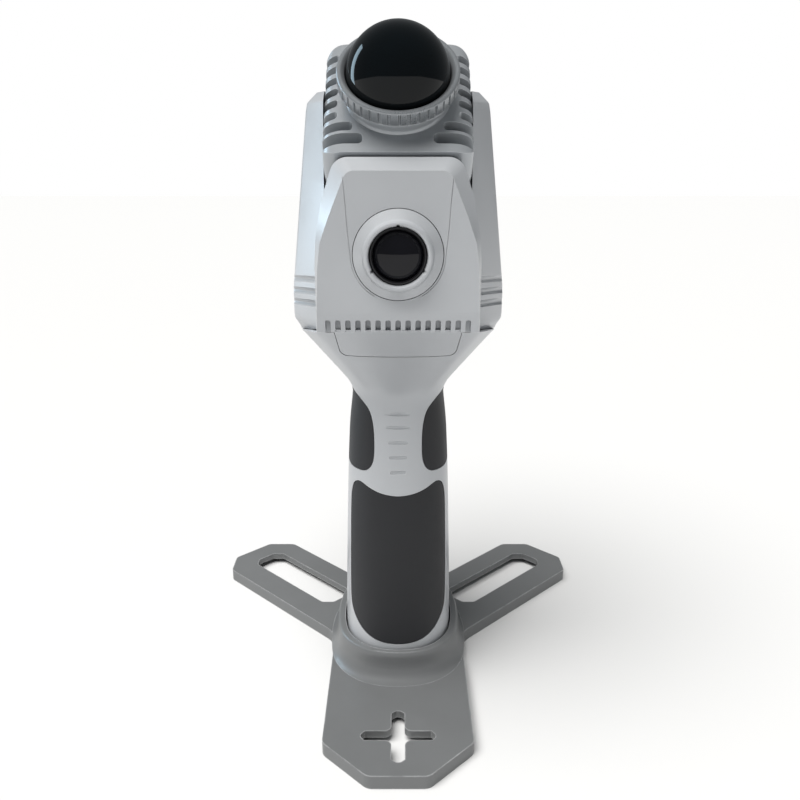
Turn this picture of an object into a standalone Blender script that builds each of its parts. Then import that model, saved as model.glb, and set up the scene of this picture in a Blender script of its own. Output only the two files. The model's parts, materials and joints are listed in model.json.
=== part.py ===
"""Handheld laser scanner standing on a three-armed ground base.

The scanner head carries a 45 degree tilted LiDAR module with a black dome, a front camera and the
electronics. A battery handle plugs into the oval collar of the base plate. Sizes are in millimetres
here and become metres when a mesh is made. The origin is on the handle's axis, on the ground;
+Z is up and the front faces -Y.
"""

import math

import bmesh
import bpy
from mathutils import Matrix, Vector

MM = 0.001
GAP = 0.3  # clearance left between neighbouring pieces

# Base plate
PLATE_TOP = 7.0
PLATE_SKIN = 3.8  # the plate's thickness over its hollow underside
PLATE_RIM = 4.5
FRONT_REACH = 114.4
FRONT_HALF = 35.8
FRONT_CHAMFER = 21.8
ARM_REACH = 139.2
ARM_FRONT = 26.8  # from the arm's axis to its front edge
ARM_BACK = 24.6
ARM_CHAMFER = 12.0
ARM_ANGLE = 45.0
SLOT_HALF = 10.6
SLOT_FROM = 50.0
SLOT_TO = 126.0
CROSS_Y = -88.0
CROSS_REACH = 15.9
CROSS_HALF = 3.2
COLLAR_TOP = 22.0
COLLAR_FLOOR = 10.0
BASE_SCREW_X = 10.0
BASE_SCREW_Y = 22.0

# Handle and neck: height, half width, half depth
HANDLE_BOTTOM = 10.3
HANDLE_STATIONS = (
    (HANDLE_BOTTOM, 28.7, 40.0),
    (34.0, 28.6, 39.8),
    (60.0, 28.0, 38.4),
    (93.0, 27.0, 36.2),
    (115.0, 26.3, 34.2),
    (137.0, 25.2, 32.6),
    (158.0, 22.8, 32.6),
)
NECK_FULL = 190.0  # the neck's top section below is at this height
NECK_TOP = 202.0  # the neck is modelled to here, then cut along the parting line
PARTING = ((-80.0, 199.2), (-10.0, 186.8), (90.0, 186.8))  # Y, Z of the line between neck and head
# Control points of the right half of the neck's top section, front to rear.
NECK_TOP_HALF = ((30.0, -56.5), (40.0, -40.0), (51.0, -14.0), (51.0, 28.0), (47.0, 40.0), (34.0, 46.0))
# The same six points on an oval of half width 1 and half depth 1.
OVAL_HALF = ((0.40, -1.0), (0.86, -0.70), (1.0, -0.28), (1.0, 0.28), (0.86, 0.70), (0.40, 1.0))
HANDLE_FLOOR = 16.3
SHELL_WALL = 3.2
GRIP_DEPTH = 1.6
TONGUE_DEPTH = 3.0
SPLIT_Y = 5.0  # front and rear handle shells meet here

# Head casing: height, half width
HEAD_STATIONS = ((183.0, 47.0), (188.5, 48.3), (192.8, 51.3), (206.5, 51.4), (292.2, 42.2), (297.0, 37.2))
HEAD_FRONT = -38.0
HEAD_REAR = 50.0
HEAD_WALL = 2.6

# Front cover and camera
COVER_FACE = -64.0
CAMERA_Z = 230.0
BEZEL_OUTER = 19.2
BEZEL_LIP = 15.2
BEZEL_PROUD = 6.4
LENS_R = 11.6

# LiDAR module, in its own frame: origin at the dome's centre, +Z out along the tilted axis
LIDAR_CENTRE = (0.0, -40.0, 302.0)
LIDAR_TILT = 45.0
LIDAR_HALF = 32.5
LIDAR_DECK = -10.5
LIDAR_BACK = -42.5
LIDAR_CORNER = 7.0
DOME_R = 22.3
DOME_FOOT = -2.4
RING_R = 26.1
RING_TOP = 4.0
RING_FOOT = -2.8
BOSS_TOP = -3.9
BOSS_LIP = 24.6
BOSS_R = 22.2
MODULE_BORE = 20.6
FIN_PITCH = 7.0
FIN_FIRST = -24.8
FIN_COUNT = 8
FIN_SLOTS = ((6.0, 15.0), (5.0, 19.4))  # width and inner end of the two lowest slots
FIN_SLOT = (4.3, 26.2)  # and of all the others

# Rear cover and ports
GASKET_Y = (50.3, 51.3)
REAR_COVER_Y = (51.6, 54.6)
REAR_COVER_Z = (191.0, 294.0)
PORT_Z = (206.0, 219.0)
PORT_HALF = 16.0
PORT_AXIS = (56.6, 203.4)  # Y, Z of the flap's pin

# Battery bay in the handle
DOOR_HALF = 21.5
DOOR_Z = (33.0, 113.0)
DOOR_AXIS = (40.8, 32.4)  # Y, Z of the door's pin
KNUCKLE_R = 2.2
CELL_R = 9.1
CELL_X = 9.4
CELL_Y = (-11.0, 7.8)
CELL_Z = (40.5, 105.5)
LATCH_TRAVEL = 3.0

# Controls on the rear of the handle
PANEL_HALF = 10.5
PANEL_Z = (121.0, 153.0)
POWER_Z = 144.5
RECORD_Z = 129.5
LIGHT_Z = 137.0
BUTTON_R = 4.2

ROUND = 24  # facets of a round piece


def clear_scene():
    for obj in list(bpy.data.objects):
        bpy.data.objects.remove(obj)


def collection(name):
    made = bpy.data.collections.new(name)
    bpy.context.scene.collection.children.link(made)
    return made


def material(name, colour, roughness, metallic):
    made = bpy.data.materials.new(name)
    made.use_nodes = True
    shader = made.node_tree.nodes["Principled BSDF"]
    shader.inputs["Base Color"].default_value = (*colour, 1.0)
    shader.inputs["Roughness"].default_value = roughness
    shader.inputs["Metallic"].default_value = metallic
    made.diffuse_color = (*colour, 1.0)
    return made


def object_from(bm, name):
    """Turns millimetres into metres and makes a helper object, hidden until part() shows it."""
    bmesh.ops.scale(bm, vec=(MM, MM, MM), verts=bm.verts)
    bmesh.ops.recalc_face_normals(bm, faces=bm.faces)
    mesh = bpy.data.meshes.new(name)
    bm.to_mesh(mesh)
    bm.free()
    obj = bpy.data.objects.new(name, mesh)
    obj.hide_render = True
    obj.display_type = "WIRE"
    CUTTERS.objects.link(obj)
    return obj


def box(name, low, high):
    bm = bmesh.new()
    size = Vector(high) - Vector(low)
    middle = (Vector(high) + Vector(low)) / 2
    bmesh.ops.create_cube(bm, size=1.0, matrix=Matrix.Translation(middle) @ Matrix.Diagonal((*size, 1.0)))
    return object_from(bm, name)


def cylinder(name, radius, start, end, top_radius=None, sides=ROUND):
    """A cylinder or cone whose axis runs from start to end."""
    bm = bmesh.new()
    start = Vector(start)
    axis = Vector(end) - start
    turn = axis.to_track_quat("Z", "X").to_matrix().to_4x4()
    bmesh.ops.create_cone(
        bm,
        cap_ends=True,
        segments=sides,
        radius1=radius,
        radius2=radius if top_radius is None else top_radius,
        depth=axis.length,
        matrix=Matrix.Translation(start + axis / 2) @ turn,
    )
    return object_from(bm, name)


def prism(name, outline, along, low, high):
    """A flat outline pushed along an axis. The outline's two numbers are the other two axes in XYZ order."""
    index = "XYZ".index(along)
    bm = bmesh.new()
    corners = []
    for point in outline:
        place = list(point)
        place.insert(index, low)
        corners.append(bm.verts.new(place))
    made = bmesh.ops.extrude_face_region(bm, geom=[bm.faces.new(corners)])
    shift = [0.0, 0.0, 0.0]
    shift[index] = high - low
    moved = [item for item in made["geom"] if isinstance(item, bmesh.types.BMVert)]
    bmesh.ops.translate(bm, vec=shift, verts=moved)
    return object_from(bm, name)


def loft(name, rings, split=False):
    """A closed solid through rings of equal point count, with flat ends. Split makes every face a triangle."""
    bm = bmesh.new()
    layers = [[bm.verts.new(point) for point in ring] for ring in rings]
    count = len(layers[0])
    for lower, upper in zip(layers, layers[1:]):
        for i in range(count):
            after = (i + 1) % count
            bm.faces.new((lower[i], lower[after], upper[after], upper[i]))
    bm.faces.new(layers[0])
    bm.faces.new(layers[-1])
    if split:
        bmesh.ops.triangulate(bm, faces=bm.faces)
    return object_from(bm, name)


def turned(name, profile, steps=ROUND):
    """A solid of revolution about its own Z axis, from (radius, height) points listed top to bottom."""
    mesh = bpy.data.meshes.new(name)
    points = [(radius * MM, 0.0, height * MM) for radius, height in profile]
    mesh.from_pydata(points, [(i, i + 1) for i in range(len(points) - 1)], [])
    obj = bpy.data.objects.new(name, mesh)
    obj.hide_render = True
    obj.display_type = "WIRE"
    CUTTERS.objects.link(obj)
    screw = obj.modifiers.new("turn", "SCREW")
    screw.steps = steps
    screw.render_steps = steps
    screw.use_merge_vertices = True
    screw.merge_threshold = 0.00001
    return obj


def join(name, objects):
    """One helper holding several separate solids."""
    bm = bmesh.new()
    for obj in objects:
        part_mesh = obj.data.copy()
        part_mesh.transform(obj.matrix_basis)
        bm.from_mesh(part_mesh)
        bpy.data.objects.remove(obj)
    bmesh.ops.scale(bm, vec=(1 / MM, 1 / MM, 1 / MM), verts=bm.verts)
    return object_from(bm, name)


def modify(obj, operation, others):
    for other in others:
        step = obj.modifiers.new(operation.lower(), "BOOLEAN")
        step.operation = operation
        step.solver = "EXACT"
        step.object = other
    return obj


def cut(obj, *others):
    return modify(obj, "DIFFERENCE", others)


def keep(obj, *others):
    return modify(obj, "INTERSECT", others)


def fuse(obj, *others):
    return modify(obj, "UNION", others)


def part(obj, look, parent=None, smooth=None):
    """Shows a helper as a real piece, with its material and its parent."""
    CUTTERS.objects.unlink(obj)
    PARTS.objects.link(obj)
    obj.hide_render = False
    obj.display_type = "TEXTURED"
    obj.data.materials.append(look)
    if parent:
        obj.parent = parent
        obj.matrix_parent_inverse = parent.matrix_basis.inverted()
    if smooth:
        obj.data.shade_smooth()
        obj.data.set_sharp_from_angle(angle=math.radians(smooth))
    return obj


def axis_empty(name, place, tilt=0.0):
    """A frame for pieces that share a joint's axis. Tilt leans its Z axis forward, in degrees."""
    empty = bpy.data.objects.new(name, None)
    empty.location = Vector(place) * MM
    empty.rotation_euler = (math.radians(tilt), 0.0, 0.0)
    PARTS.objects.link(empty)
    bpy.context.view_layer.update()
    return empty


def in_frame(obj, frame):
    """Places an object modelled in a frame's own coordinates."""
    obj.matrix_basis = frame.matrix_basis.copy()
    return obj


# Outlines


def filleted(points, radii, steps=5):
    """The closed outline with each corner rounded to its radius."""
    made = []
    count = len(points)
    for i, (point, radius) in enumerate(zip(points, radii)):
        here = Vector(point)
        if radius <= 0:
            made.append(tuple(here))
            continue
        before = (Vector(points[i - 1]) - here).normalized()
        after = (Vector(points[(i + 1) % count]) - here).normalized()
        half = before.angle(after) / 2
        reach = radius / math.tan(half)
        centre = here + (before + after).normalized() * (radius / math.sin(half))
        start = here + before * reach - centre
        end = here + after * reach - centre
        turn = start.angle_signed(end)
        for k in range(steps + 1):
            angle = -turn * k / steps
            spoke = Matrix.Rotation(angle, 2) @ start
            made.append(tuple(centre + spoke))
    return made


def mirrored(half):
    """A right half outline, front to rear, completed with its left half."""
    return list(half) + [(-x, y) for x, y in reversed(half)]


def ellipse(half_x, half_y, count=ROUND, centre=(0.0, 0.0)):
    angles = [2 * math.pi * i / count for i in range(count)]
    return [(centre[0] + half_x * math.cos(a), centre[1] + half_y * math.sin(a)) for a in angles]


def rounded_box(half_x, low_y, high_y, radius, steps=4):
    corners = [(half_x, low_y), (half_x, high_y), (-half_x, high_y), (-half_x, low_y)]
    return filleted(corners, [radius] * 4, steps)


def corner_cut(points, rounds):
    """Chaikin corner cutting of a closed outline."""
    for _ in range(rounds):
        finer = []
        for i, here in enumerate(points):
            after = points[(i + 1) % len(points)]
            finer.append((0.75 * here[0] + 0.25 * after[0], 0.75 * here[1] + 0.25 * after[1]))
            finer.append((0.25 * here[0] + 0.75 * after[0], 0.25 * here[1] + 0.75 * after[1]))
        points = finer
    return points


def oval_ring(half_x, half_y, z, rounds=1):
    """A section with the handle's rounded oval shape."""
    return [(x * half_x, y * half_y, z) for x, y in corner_cut(mirrored(OVAL_HALF), rounds)]


def handle_ring(z, inset, rounds=1):
    """One horizontal section of the handle or neck, offset inward."""
    last_z, last_w, last_d = HANDLE_STATIONS[-1]
    if z <= last_z:
        pairs = zip(HANDLE_STATIONS, HANDLE_STATIONS[1:])
        low, high = next(pair for pair in pairs if z <= pair[1][0])
        share = (z - low[0]) / (high[0] - low[0])
        width = low[1] + share * (high[1] - low[1]) - inset
        depth = low[2] + share * (high[2] - low[2]) - inset
        half = [(x * width, y * depth) for x, y in OVAL_HALF]
    else:
        share = (z - last_z) / (NECK_FULL - last_z)
        half = []
        for (ox, oy), (tx, ty) in zip(OVAL_HALF, NECK_TOP_HALF):
            top_x = tx * (1 - inset / 49.0)
            top_y = ty - math.copysign(inset, ty)
            x = ox * (last_w - inset) * (1 - share) + top_x * share
            y = oy * (last_d - inset) * (1 - share) + top_y * share
            half.append((x, y))
    return [(x, y, z) for x, y in corner_cut(mirrored(half), rounds)]


def handle_solid(name, inset, low, high, rounds=1):
    """The handle's solid between two heights, offset inward by inset."""
    levels = [low] + [station[0] for station in HANDLE_STATIONS if low < station[0] < high] + [high]
    return loft(name, [handle_ring(z, inset, rounds) for z in levels])


def head_ring(z, inset, open_rear):
    """One horizontal section of the head. An open rear runs on past the back, for the cavity."""
    pairs = zip(HEAD_STATIONS, HEAD_STATIONS[1:])
    low, high = next(pair for pair in pairs if z <= pair[1][0])
    share = (z - low[0]) / (high[0] - low[0])
    width = low[1] + share * (high[1] - low[1])
    rear = (0.7 * width - inset, HEAD_REAR + 10.0) if open_rear else (0.8 * width - inset, HEAD_REAR - inset)
    half = [(0.71 * width - 0.4 * inset, HEAD_FRONT + inset), (width - inset, -12.0), (width - inset, 30.0), rear]
    return [(x, y, z) for x, y in mirrored(half)]


# The base


def base_outline(inset=0.0):
    turn = math.radians(ARM_ANGLE)
    along = Vector((math.sin(turn), math.cos(turn)))
    side = Vector((math.cos(turn), -math.sin(turn)))
    ahead, behind = ARM_FRONT - inset, ARM_BACK - inset
    reach = ARM_REACH - inset
    shoulder = reach - ARM_CHAMFER + 0.4 * inset
    front_half, front_reach = FRONT_HALF - inset, FRONT_REACH - inset
    chamfer = FRONT_CHAMFER - 0.6 * inset
    meeting = (front_half - ahead * side.x) / along.x
    points = [
        ((front_half - chamfer, -front_reach), 6.0),
        ((front_half, chamfer - front_reach), 6.0),
        (ahead * side + meeting * along, 18.0),
        (ahead * side + shoulder * along, 5.0),
        ((ahead - ARM_CHAMFER) * side + reach * along, 5.0),
        ((ARM_CHAMFER - behind) * side + reach * along, 5.0),
        (-behind * side + shoulder * along, 5.0),
        (-behind * side + 60.0 * along, 0.0),
        ((15.0, 49.5), 0.0),
    ]
    half = [tuple(point) for point, _ in points]
    radii = [radius for _, radius in points]
    return filleted(mirrored(half), radii + radii[::-1], 4)


def arm_slot(sign):
    """A slot along one rear arm: chamfered at its outer end, rounder at its inner end."""
    turn = math.radians(ARM_ANGLE)
    along = Vector((sign * math.sin(turn), math.cos(turn)))
    side = Vector((math.cos(turn), -sign * math.sin(turn)))
    nose = 5.0
    outline = [
        (SLOT_FROM + nose, -SLOT_HALF),
        (SLOT_TO - nose, -SLOT_HALF),
        (SLOT_TO, nose - SLOT_HALF),
        (SLOT_TO, SLOT_HALF - nose),
        (SLOT_TO - nose, SLOT_HALF),
        (SLOT_FROM + nose, SLOT_HALF),
        (SLOT_FROM, SLOT_HALF - nose),
        (SLOT_FROM, nose - SLOT_HALF),
    ]
    points = [tuple(along * a + side * b) for a, b in outline]
    return prism(f"slot_cut_{'right' if sign > 0 else 'left'}", points, "Z", -5.0, PLATE_TOP + 5.0)


def cross_cut():
    """The plumb cross: four round-ended fingers that flare where they meet."""
    quarter = filleted(
        [(CROSS_HALF, -CROSS_REACH), (CROSS_HALF, -CROSS_HALF), (CROSS_REACH, -CROSS_HALF)],
        [0.0, 3.5, 0.0],
        3,
    )
    tip = [(CROSS_REACH + 1.4, 0.0)]
    arm = quarter + tip
    points = []
    for k in range(4):
        turn = Matrix.Rotation(math.radians(90 * k), 2)
        points += [tuple(turn @ Vector(p) + Vector((0.0, CROSS_Y))) for p in arm]
    return prism("cross_cut", points, "Z", -5.0, PLATE_TOP + 5.0)


def screw_places():
    return [(x, y) for x in (-BASE_SCREW_X, BASE_SCREW_X) for y in (-BASE_SCREW_Y, BASE_SCREW_Y)]


def make_base():
    plate = prism("base_plate", base_outline(), "Z", 0.0, PLATE_TOP)
    collar = loft(
        "collar",
        [
            oval_ring(half_x, half_y, z)
            for half_x, half_y, z in (
                (37.2, 46.6, PLATE_TOP - 1.5),
                (36.4, 45.8, PLATE_TOP + 0.8),
                (35.0, 44.8, PLATE_TOP + 3.2),
                (33.6, 44.3, COLLAR_TOP - 1.5),
                (32.3, 43.2, COLLAR_TOP),
            )
        ],
    )
    pocket = loft("collar_pocket", [oval_ring(29.5, 40.8, z) for z in (COLLAR_FLOOR, COLLAR_TOP + 5.0)])
    holes = []
    for x, y in screw_places():
        holes.append(cylinder("screw_hole", 2.4, (x, y, -2.0), (x, y, 14.0), sides=12))
        holes.append(cylinder("screw_sink", 6.0, (x, y, -1.0), (x, y, 3.8), 1.6, 16))
    under = prism("under", base_outline(PLATE_RIM), "Z", -4.0, PLATE_TOP - PLATE_SKIN)
    cut(under, loft("pad", [oval_ring(41.0, 52.0, z) for z in (-5.0, PLATE_TOP)]))
    fuse(plate, collar)
    cut(plate, under, pocket, arm_slot(1), arm_slot(-1), cross_cut(), *holes)
    part(plate, SATIN_GREY, smooth=35)

    for i, (x, y) in enumerate(screw_places()):
        screw = cylinder(f"base_screw_{i + 1}", 4.6, (x, y, 0.4), (x, y, 3.0), 2.0, 16)
        fuse(screw, cylinder("shank", 1.8, (x, y, 2.5), (x, y, 15.0), sides=12))
        part(cut(screw, cylinder("socket", 1.4, (x, y, 0.0), (x, y, 1.6), sides=6)), STEEL)


def solid_group(name, objects):
    """Applies each object's modifiers and puts the separate solids in one helper."""
    bpy.context.view_layer.update()
    graph = bpy.context.evaluated_depsgraph_get()
    bm = bmesh.new()
    for obj in objects:
        mesh = bpy.data.meshes.new_from_object(obj.evaluated_get(graph))
        mesh.transform(obj.matrix_basis)
        bm.from_mesh(mesh)
    for obj in objects:
        bpy.data.objects.remove(obj)
    bmesh.ops.scale(bm, vec=(1 / MM, 1 / MM, 1 / MM), verts=bm.verts)
    return object_from(bm, name)


# The handle


def below_parting(name, lift=0.0):
    """Everything below the line where the head meets the neck."""
    line = [(y, z + lift) for y, z in PARTING]
    return prism(name, [(-80.0, -20.0), *line, (90.0, -20.0)], "X", -80.0, 80.0)


def band(name, outline, rear, outer, inner):
    """The layer of the handle between two insets, inside an outline seen along Y: front, rear or both."""
    low = max(min(z for _, z in outline) - 6.0, HANDLE_BOTTOM)
    high = min(max(z for _, z in outline) + 6.0, NECK_TOP)
    layer = handle_solid(name, outer, low, high)
    zone = prism(name + "_zone", outline, "Y", 2.0 if rear else -80.0, -2.0 if rear is False else 80.0)
    core = handle_solid(name + "_core", inner, low - 3.0 if low > HANDLE_BOTTOM else low, high)
    keep(layer, zone)
    return cut(layer, core)


def front_grip_outline(grow):
    """Dipped at its top, straight at its sides and round at its bottom."""
    half = [
        (0.0, 24.7 - grow),
        (8.3, 25.4 - grow),
        (14.1 + grow / 2, 27.3 - grow),
        (18.0 + grow / 2, 29.8 - grow),
        (21.0 + grow, 33.2 - grow / 2),
        (23.1 + grow, 36.7),
        (24.4 + grow, 41.0),
        (24.6 + grow, 50.0),
        (24.4 + grow, 70.0),
        (23.9 + grow, 100.6),
        (22.9 + grow, 106.4),
        (21.8 + grow, 109.2 + grow),
        (20.1, 110.9 + grow),
        (18.2, 110.8 + grow),
        (15.3, 109.7 + grow),
        (11.6, 108.3 + grow),
        (7.0, 107.0 + grow),
        (0.0, 106.2 + grow),
    ]
    return half + [(-x, z) for x, z in reversed(half[1:-1])]


def side_grip_outline(sign, grow):
    """A leaf beside the spine that runs on round the handle's side."""
    points = [
        (34.0, 116.6 - grow),
        (20.0, 117.6 - grow),
        (16.6, 118.2 - grow),
        (13.9, 120.6 - grow),
        (12.2 - grow, 125.0),
        (11.9 - grow, 135.0),
        (12.4 - grow, 143.0),
        (14.0 - grow / 2, 149.2 + grow),
        (17.2, 153.0 + grow),
        (22.0, 156.8 + grow),
        (34.0, 163.0 + grow),
    ]
    return [(sign * x, z) for x, z in points]


def tongue_outline(grow):
    half = [(28.3 + grow, 197.1), (26.0 + grow, 182.5 - grow)]
    points = half + [(-x, z) for x, z in reversed(half)]
    return filleted(points, [0.0, 3.6, 3.6, 0.0], 4)


def panel_outline(grow):
    return rounded_box(PANEL_HALF + grow, PANEL_Z[0] - grow, PANEL_Z[1] + grow, 3.0)


def door_outline(grow):
    return rounded_box(DOOR_HALF + grow, DOOR_Z[0] - grow, DOOR_Z[1] + grow, 2.5)


def rear_grip_outline(grow):
    return rounded_box(DOOR_HALF - 1.8 + grow, 39.0 - grow, 94.0 + grow, 3.0)


def hollow_handle(name):
    """The whole handle and neck as a tube, open at its top."""
    shell = handle_solid(name, 0.0, HANDLE_BOTTOM, NECK_TOP)
    bore = handle_solid(name + "_bore", SHELL_WALL, HANDLE_FLOOR, NECK_TOP + 5.0)
    keep(shell, below_parting(name + "_top"))
    return cut(shell, bore)


def hinge_barrels(name, radius, grow=0.0):
    """The two outer knuckles of the door's hinge."""
    y, z = DOOR_AXIS
    return [cylinder(name, radius, (s * (7.9 - grow), y, z), (s * (14.0 + grow), y, z), sides=16) for s in (-1, 1)]


def make_handle():
    front = hollow_handle("handle_front_shell")
    keep(front, box("front_half", (-80.0, -90.0, 0.0), (80.0, SPLIT_Y - GAP / 2, 220.0)))
    recess = GRIP_DEPTH + GAP
    cut(front, band("front_recess", front_grip_outline(GAP), False, -2.0, recess))
    cut(front, prism("tongue_notch", tongue_outline(GAP), "Y", -80.0, -30.0))
    for sign in (-1, 1):
        cut(front, band("side_recess", side_grip_outline(sign, GAP), None, -2.0, recess))
    for x, y in screw_places():
        if y < 0:
            cut(front, cylinder("boss_hole", 2.1, (x, y, 0.0), (x, y, 15.8), sides=12))
    part(front, SATIN_SILVER, smooth=35)

    rear = hollow_handle("handle_rear_shell")
    keep(rear, box("rear_half", (-80.0, SPLIT_Y + GAP / 2, 0.0), (80.0, 90.0, 220.0)))
    opening = prism("door_opening", door_outline(GAP), "Y", SPLIT_Y - 2.0, 60.0)
    cut(rear, opening)
    y, z = DOOR_AXIS
    ears = []
    for s in (-1, 1):
        low, high = sorted((s * 7.9, s * 14.0))
        ears.append(box("ear", (low, 37.4, 27.5), (high, y, z)))
    fuse(rear, *ears, *hinge_barrels("shell_barrel", KNUCKLE_R))
    for sign in (-1, 1):
        cut(rear, band("side_recess", side_grip_outline(sign, GAP), None, -2.0, recess))
    cut(rear, band("panel_recess", panel_outline(GAP), True, -2.0, recess))
    cut(rear, cylinder("pin_hole", 1.2, (-20.0, y, z), (20.0, y, z), sides=12))
    cut(rear, cylinder("knuckle_room", KNUCKLE_R + 0.4, (-7.9, y, z), (7.9, y, z), sides=16))
    for place in (POWER_Z, RECORD_Z):
        cut(rear, cylinder("button_hole", BUTTON_R + GAP, (0.0, 20.0, place), (0.0, 50.0, place), sides=20))
    cut(rear, box("light_hole", (-4.3, 20.0, LIGHT_Z - 1.3), (4.3, 50.0, LIGHT_Z + 1.3)))
    for x, y in screw_places():
        if y > 0:
            cut(rear, cylinder("boss_hole", 2.1, (x, y, 0.0), (x, y, 15.8), sides=12))
    for x in (-6.5, 6.5):
        for height in (124.0, 150.0):
            fuse(rear, cylinder("post", 1.6, (x, 21.4, height), (x, 29.5, height), sides=8))
    part(rear, SATIN_SILVER, smooth=35)


def make_grips():
    part(band("front_grip", front_grip_outline(0.0), False, 0.0, GRIP_DEPTH), RUBBER, smooth=35)
    for sign, side in ((-1, "left"), (1, "right")):
        part(band(f"side_grip_{side}", side_grip_outline(sign, 0.0), None, 0.0, GRIP_DEPTH), RUBBER, smooth=35)


def make_controls():
    panel = band("control_panel", panel_outline(0.0), True, 0.0, GRIP_DEPTH)
    for place in (POWER_Z, RECORD_Z):
        cut(panel, cylinder("panel_hole", BUTTON_R + GAP, (0.0, 20.0, place), (0.0, 50.0, place), sides=20))
    cut(panel, box("panel_light", (-4.3, 20.0, LIGHT_Z - 1.3), (4.3, 50.0, LIGHT_Z + 1.3)))
    part(panel, BLACK_PLASTIC, smooth=35)
    part(box("status_light", (-4.0, 24.5, LIGHT_Z - 1.0), (4.0, 33.0, LIGHT_Z + 1.0)), LIGHT_PIPE)
    for name, place, look in (("power_button", POWER_Z, ACCENT), ("record_button", RECORD_Z, BLACK_PLASTIC)):
        cap = cylinder(name, BUTTON_R, (0.0, 27.0, place), (0.0, 34.0, place), sides=20)
        flange = cylinder("flange", BUTTON_R + 1.0, (0.0, 26.6, place), (0.0, 28.0, place), sides=20)
        stem = cylinder("stem", 1.3, (0.0, 25.2, place), (0.0, 26.8, place), sides=12)
        part(fuse(cap, flange, stem), look, smooth=35)
    board = box("button_board", (-9.6, 19.5, 121.0), (9.6, 21.0, 153.0))
    for place in (POWER_Z, RECORD_Z):
        fuse(board, box("switch", (-3.0, 20.5, place - 3.0), (3.0, 23.0, place + 3.0)))
        fuse(board, cylinder("plunger", 1.6, (0.0, 22.8, place), (0.0, 23.9, place), sides=12))
    fuse(board, box("diode", (-2.0, 20.5, LIGHT_Z - 0.8), (2.0, 22.4, LIGHT_Z + 0.8)))
    part(board, BOARD)


def make_battery():
    low, high = DOOR_Z[0] + 3.5, DOOR_Z[1] - 3.6
    outer = [(19.7, -16.8), (19.7, 15.0), (-19.7, 15.0), (-19.7, -16.8), (-14.7, -21.8), (14.7, -21.8)]
    inner = [(18.7, -16.2), (18.7, 20.0), (-18.7, 20.0), (-18.7, -16.2), (-14.3, -20.6), (14.3, -20.6)]
    cradle = prism("battery_cradle", outer, "Z", low, high)
    cut(cradle, prism("cradle_room", inner, "Z", low + 1.5, high - 1.5))
    cut(cradle, cylinder("wire_hole", 3.0, (0.0, -5.0, high - 5.0), (0.0, -5.0, high + 5.0), sides=16))
    part(cradle, BLACK_PLASTIC)

    low_plate = box("contact_plate_low", (-17.0, CELL_Y[0] - 5.0, low + 1.8), (17.0, CELL_Y[1] + 5.0, low + 2.8))
    number = 0
    for x in (-CELL_X, CELL_X):
        for y in CELL_Y:
            number += 1
            cell = cylinder(f"battery_cell_{number}", CELL_R, (x, y, CELL_Z[0]), (x, y, CELL_Z[1] - 1.0), sides=20)
            fuse(cell, cylinder("tip", 3.0, (x, y, CELL_Z[1] - 2.0), (x, y, CELL_Z[1]), sides=12))
            part(cell, CELL_WRAP, smooth=35)
            fuse(low_plate, cylinder("spring", 3.6, (x, y, low + 2.6), (x, y, CELL_Z[0] - GAP), 2.4, 12))
    part(low_plate, NICKEL)
    part(box("contact_plate_high", (-17.0, CELL_Y[0] - 5.0, high - 3.6), (17.0, CELL_Y[1] + 5.0, high - 1.8)), NICKEL)


def make_door():
    y, z = DOOR_AXIS
    recess = GRIP_DEPTH + GAP
    door = band("battery_door", door_outline(0.0), True, 0.0, SHELL_WALL)
    block = box("latch_block", (-7.5, 27.2, 95.0), (7.5, 33.0, 112.6))
    arm = box("knuckle_arm", (-7.6, 37.2, 33.0), (7.6, y, 36.5))
    knuckle = cylinder("knuckle", KNUCKLE_R, (-7.6, y, z), (7.6, y, z), sides=16)
    fuse(door, block, arm, knuckle)
    cut(door, band("door_grip_recess", rear_grip_outline(GAP), True, -2.0, recess))
    cut(door, box("latch_pocket", (-5.3, 28.3, 93.6), (5.3, 31.3, 118.0)))
    cut(door, box("latch_window", (-4.3, 31.0, 96.7), (4.3, 45.0, 106.3)))
    cut(door, *hinge_barrels("door_room", KNUCKLE_R + 0.4, 0.3))
    cut(door, cylinder("door_pin_hole", 1.2, (-20.0, y, z), (20.0, y, z), sides=12))
    door = recentre(door, (0.0, y, z))
    part(door, BLACK_PLASTIC, smooth=35)
    part(band("rear_grip", rear_grip_outline(0.0), True, 0.0, GRIP_DEPTH), RUBBER, smooth=35)
    part(cylinder("door_pin", 0.9, (-13.8, y, z), (13.8, y, z), sides=12), STEEL)

    latch = box("door_latch", (-5.0, 28.6, 97.0), (5.0, 31.0, 110.0))
    fuse(latch, box("tongue", (-3.0, 28.6, 109.0), (3.0, 30.6, 115.5)))
    fuse(latch, box("thumb", (-4.0, 30.5, 100.0), (4.0, 36.6, 106.0)))
    part(latch, ACCENT)


def recentre(obj, place):
    """Moves the origin to a joint's axis while the shape stays where it is."""
    shift = Vector(place) * MM
    obj.data.transform(Matrix.Translation(-shift))
    obj.location = shift
    return obj


# The head


def head_loft(name, inset, open_rear=False):
    rings = [head_ring(z, inset, open_rear) for z, _ in HEAD_STATIONS]
    rings[-1] = [(x, y, z - inset) for x, y, z in rings[-1]]
    return loft(name, rings, split=True)


def lidar_box(name, grow, top):
    """The room the LiDAR module takes, grown on all sides."""
    half = LIDAR_HALF + grow
    return in_frame(box(name, (-half, -half, LIDAR_BACK - grow), (half, half, top)), LIDAR)


COVER_BACK = ((26.5, 269.6), (32.5, 252.0), (35.4, 235.0), (36.0, 224.0), (36.0, 206.0), (36.0, 188.0))
COVER_FRONT = ((21.5, 264.4), (29.0, 246.0), (33.0, 235.0), (34.4, 224.0), (35.0, 206.0), (35.0, 188.0))


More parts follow.
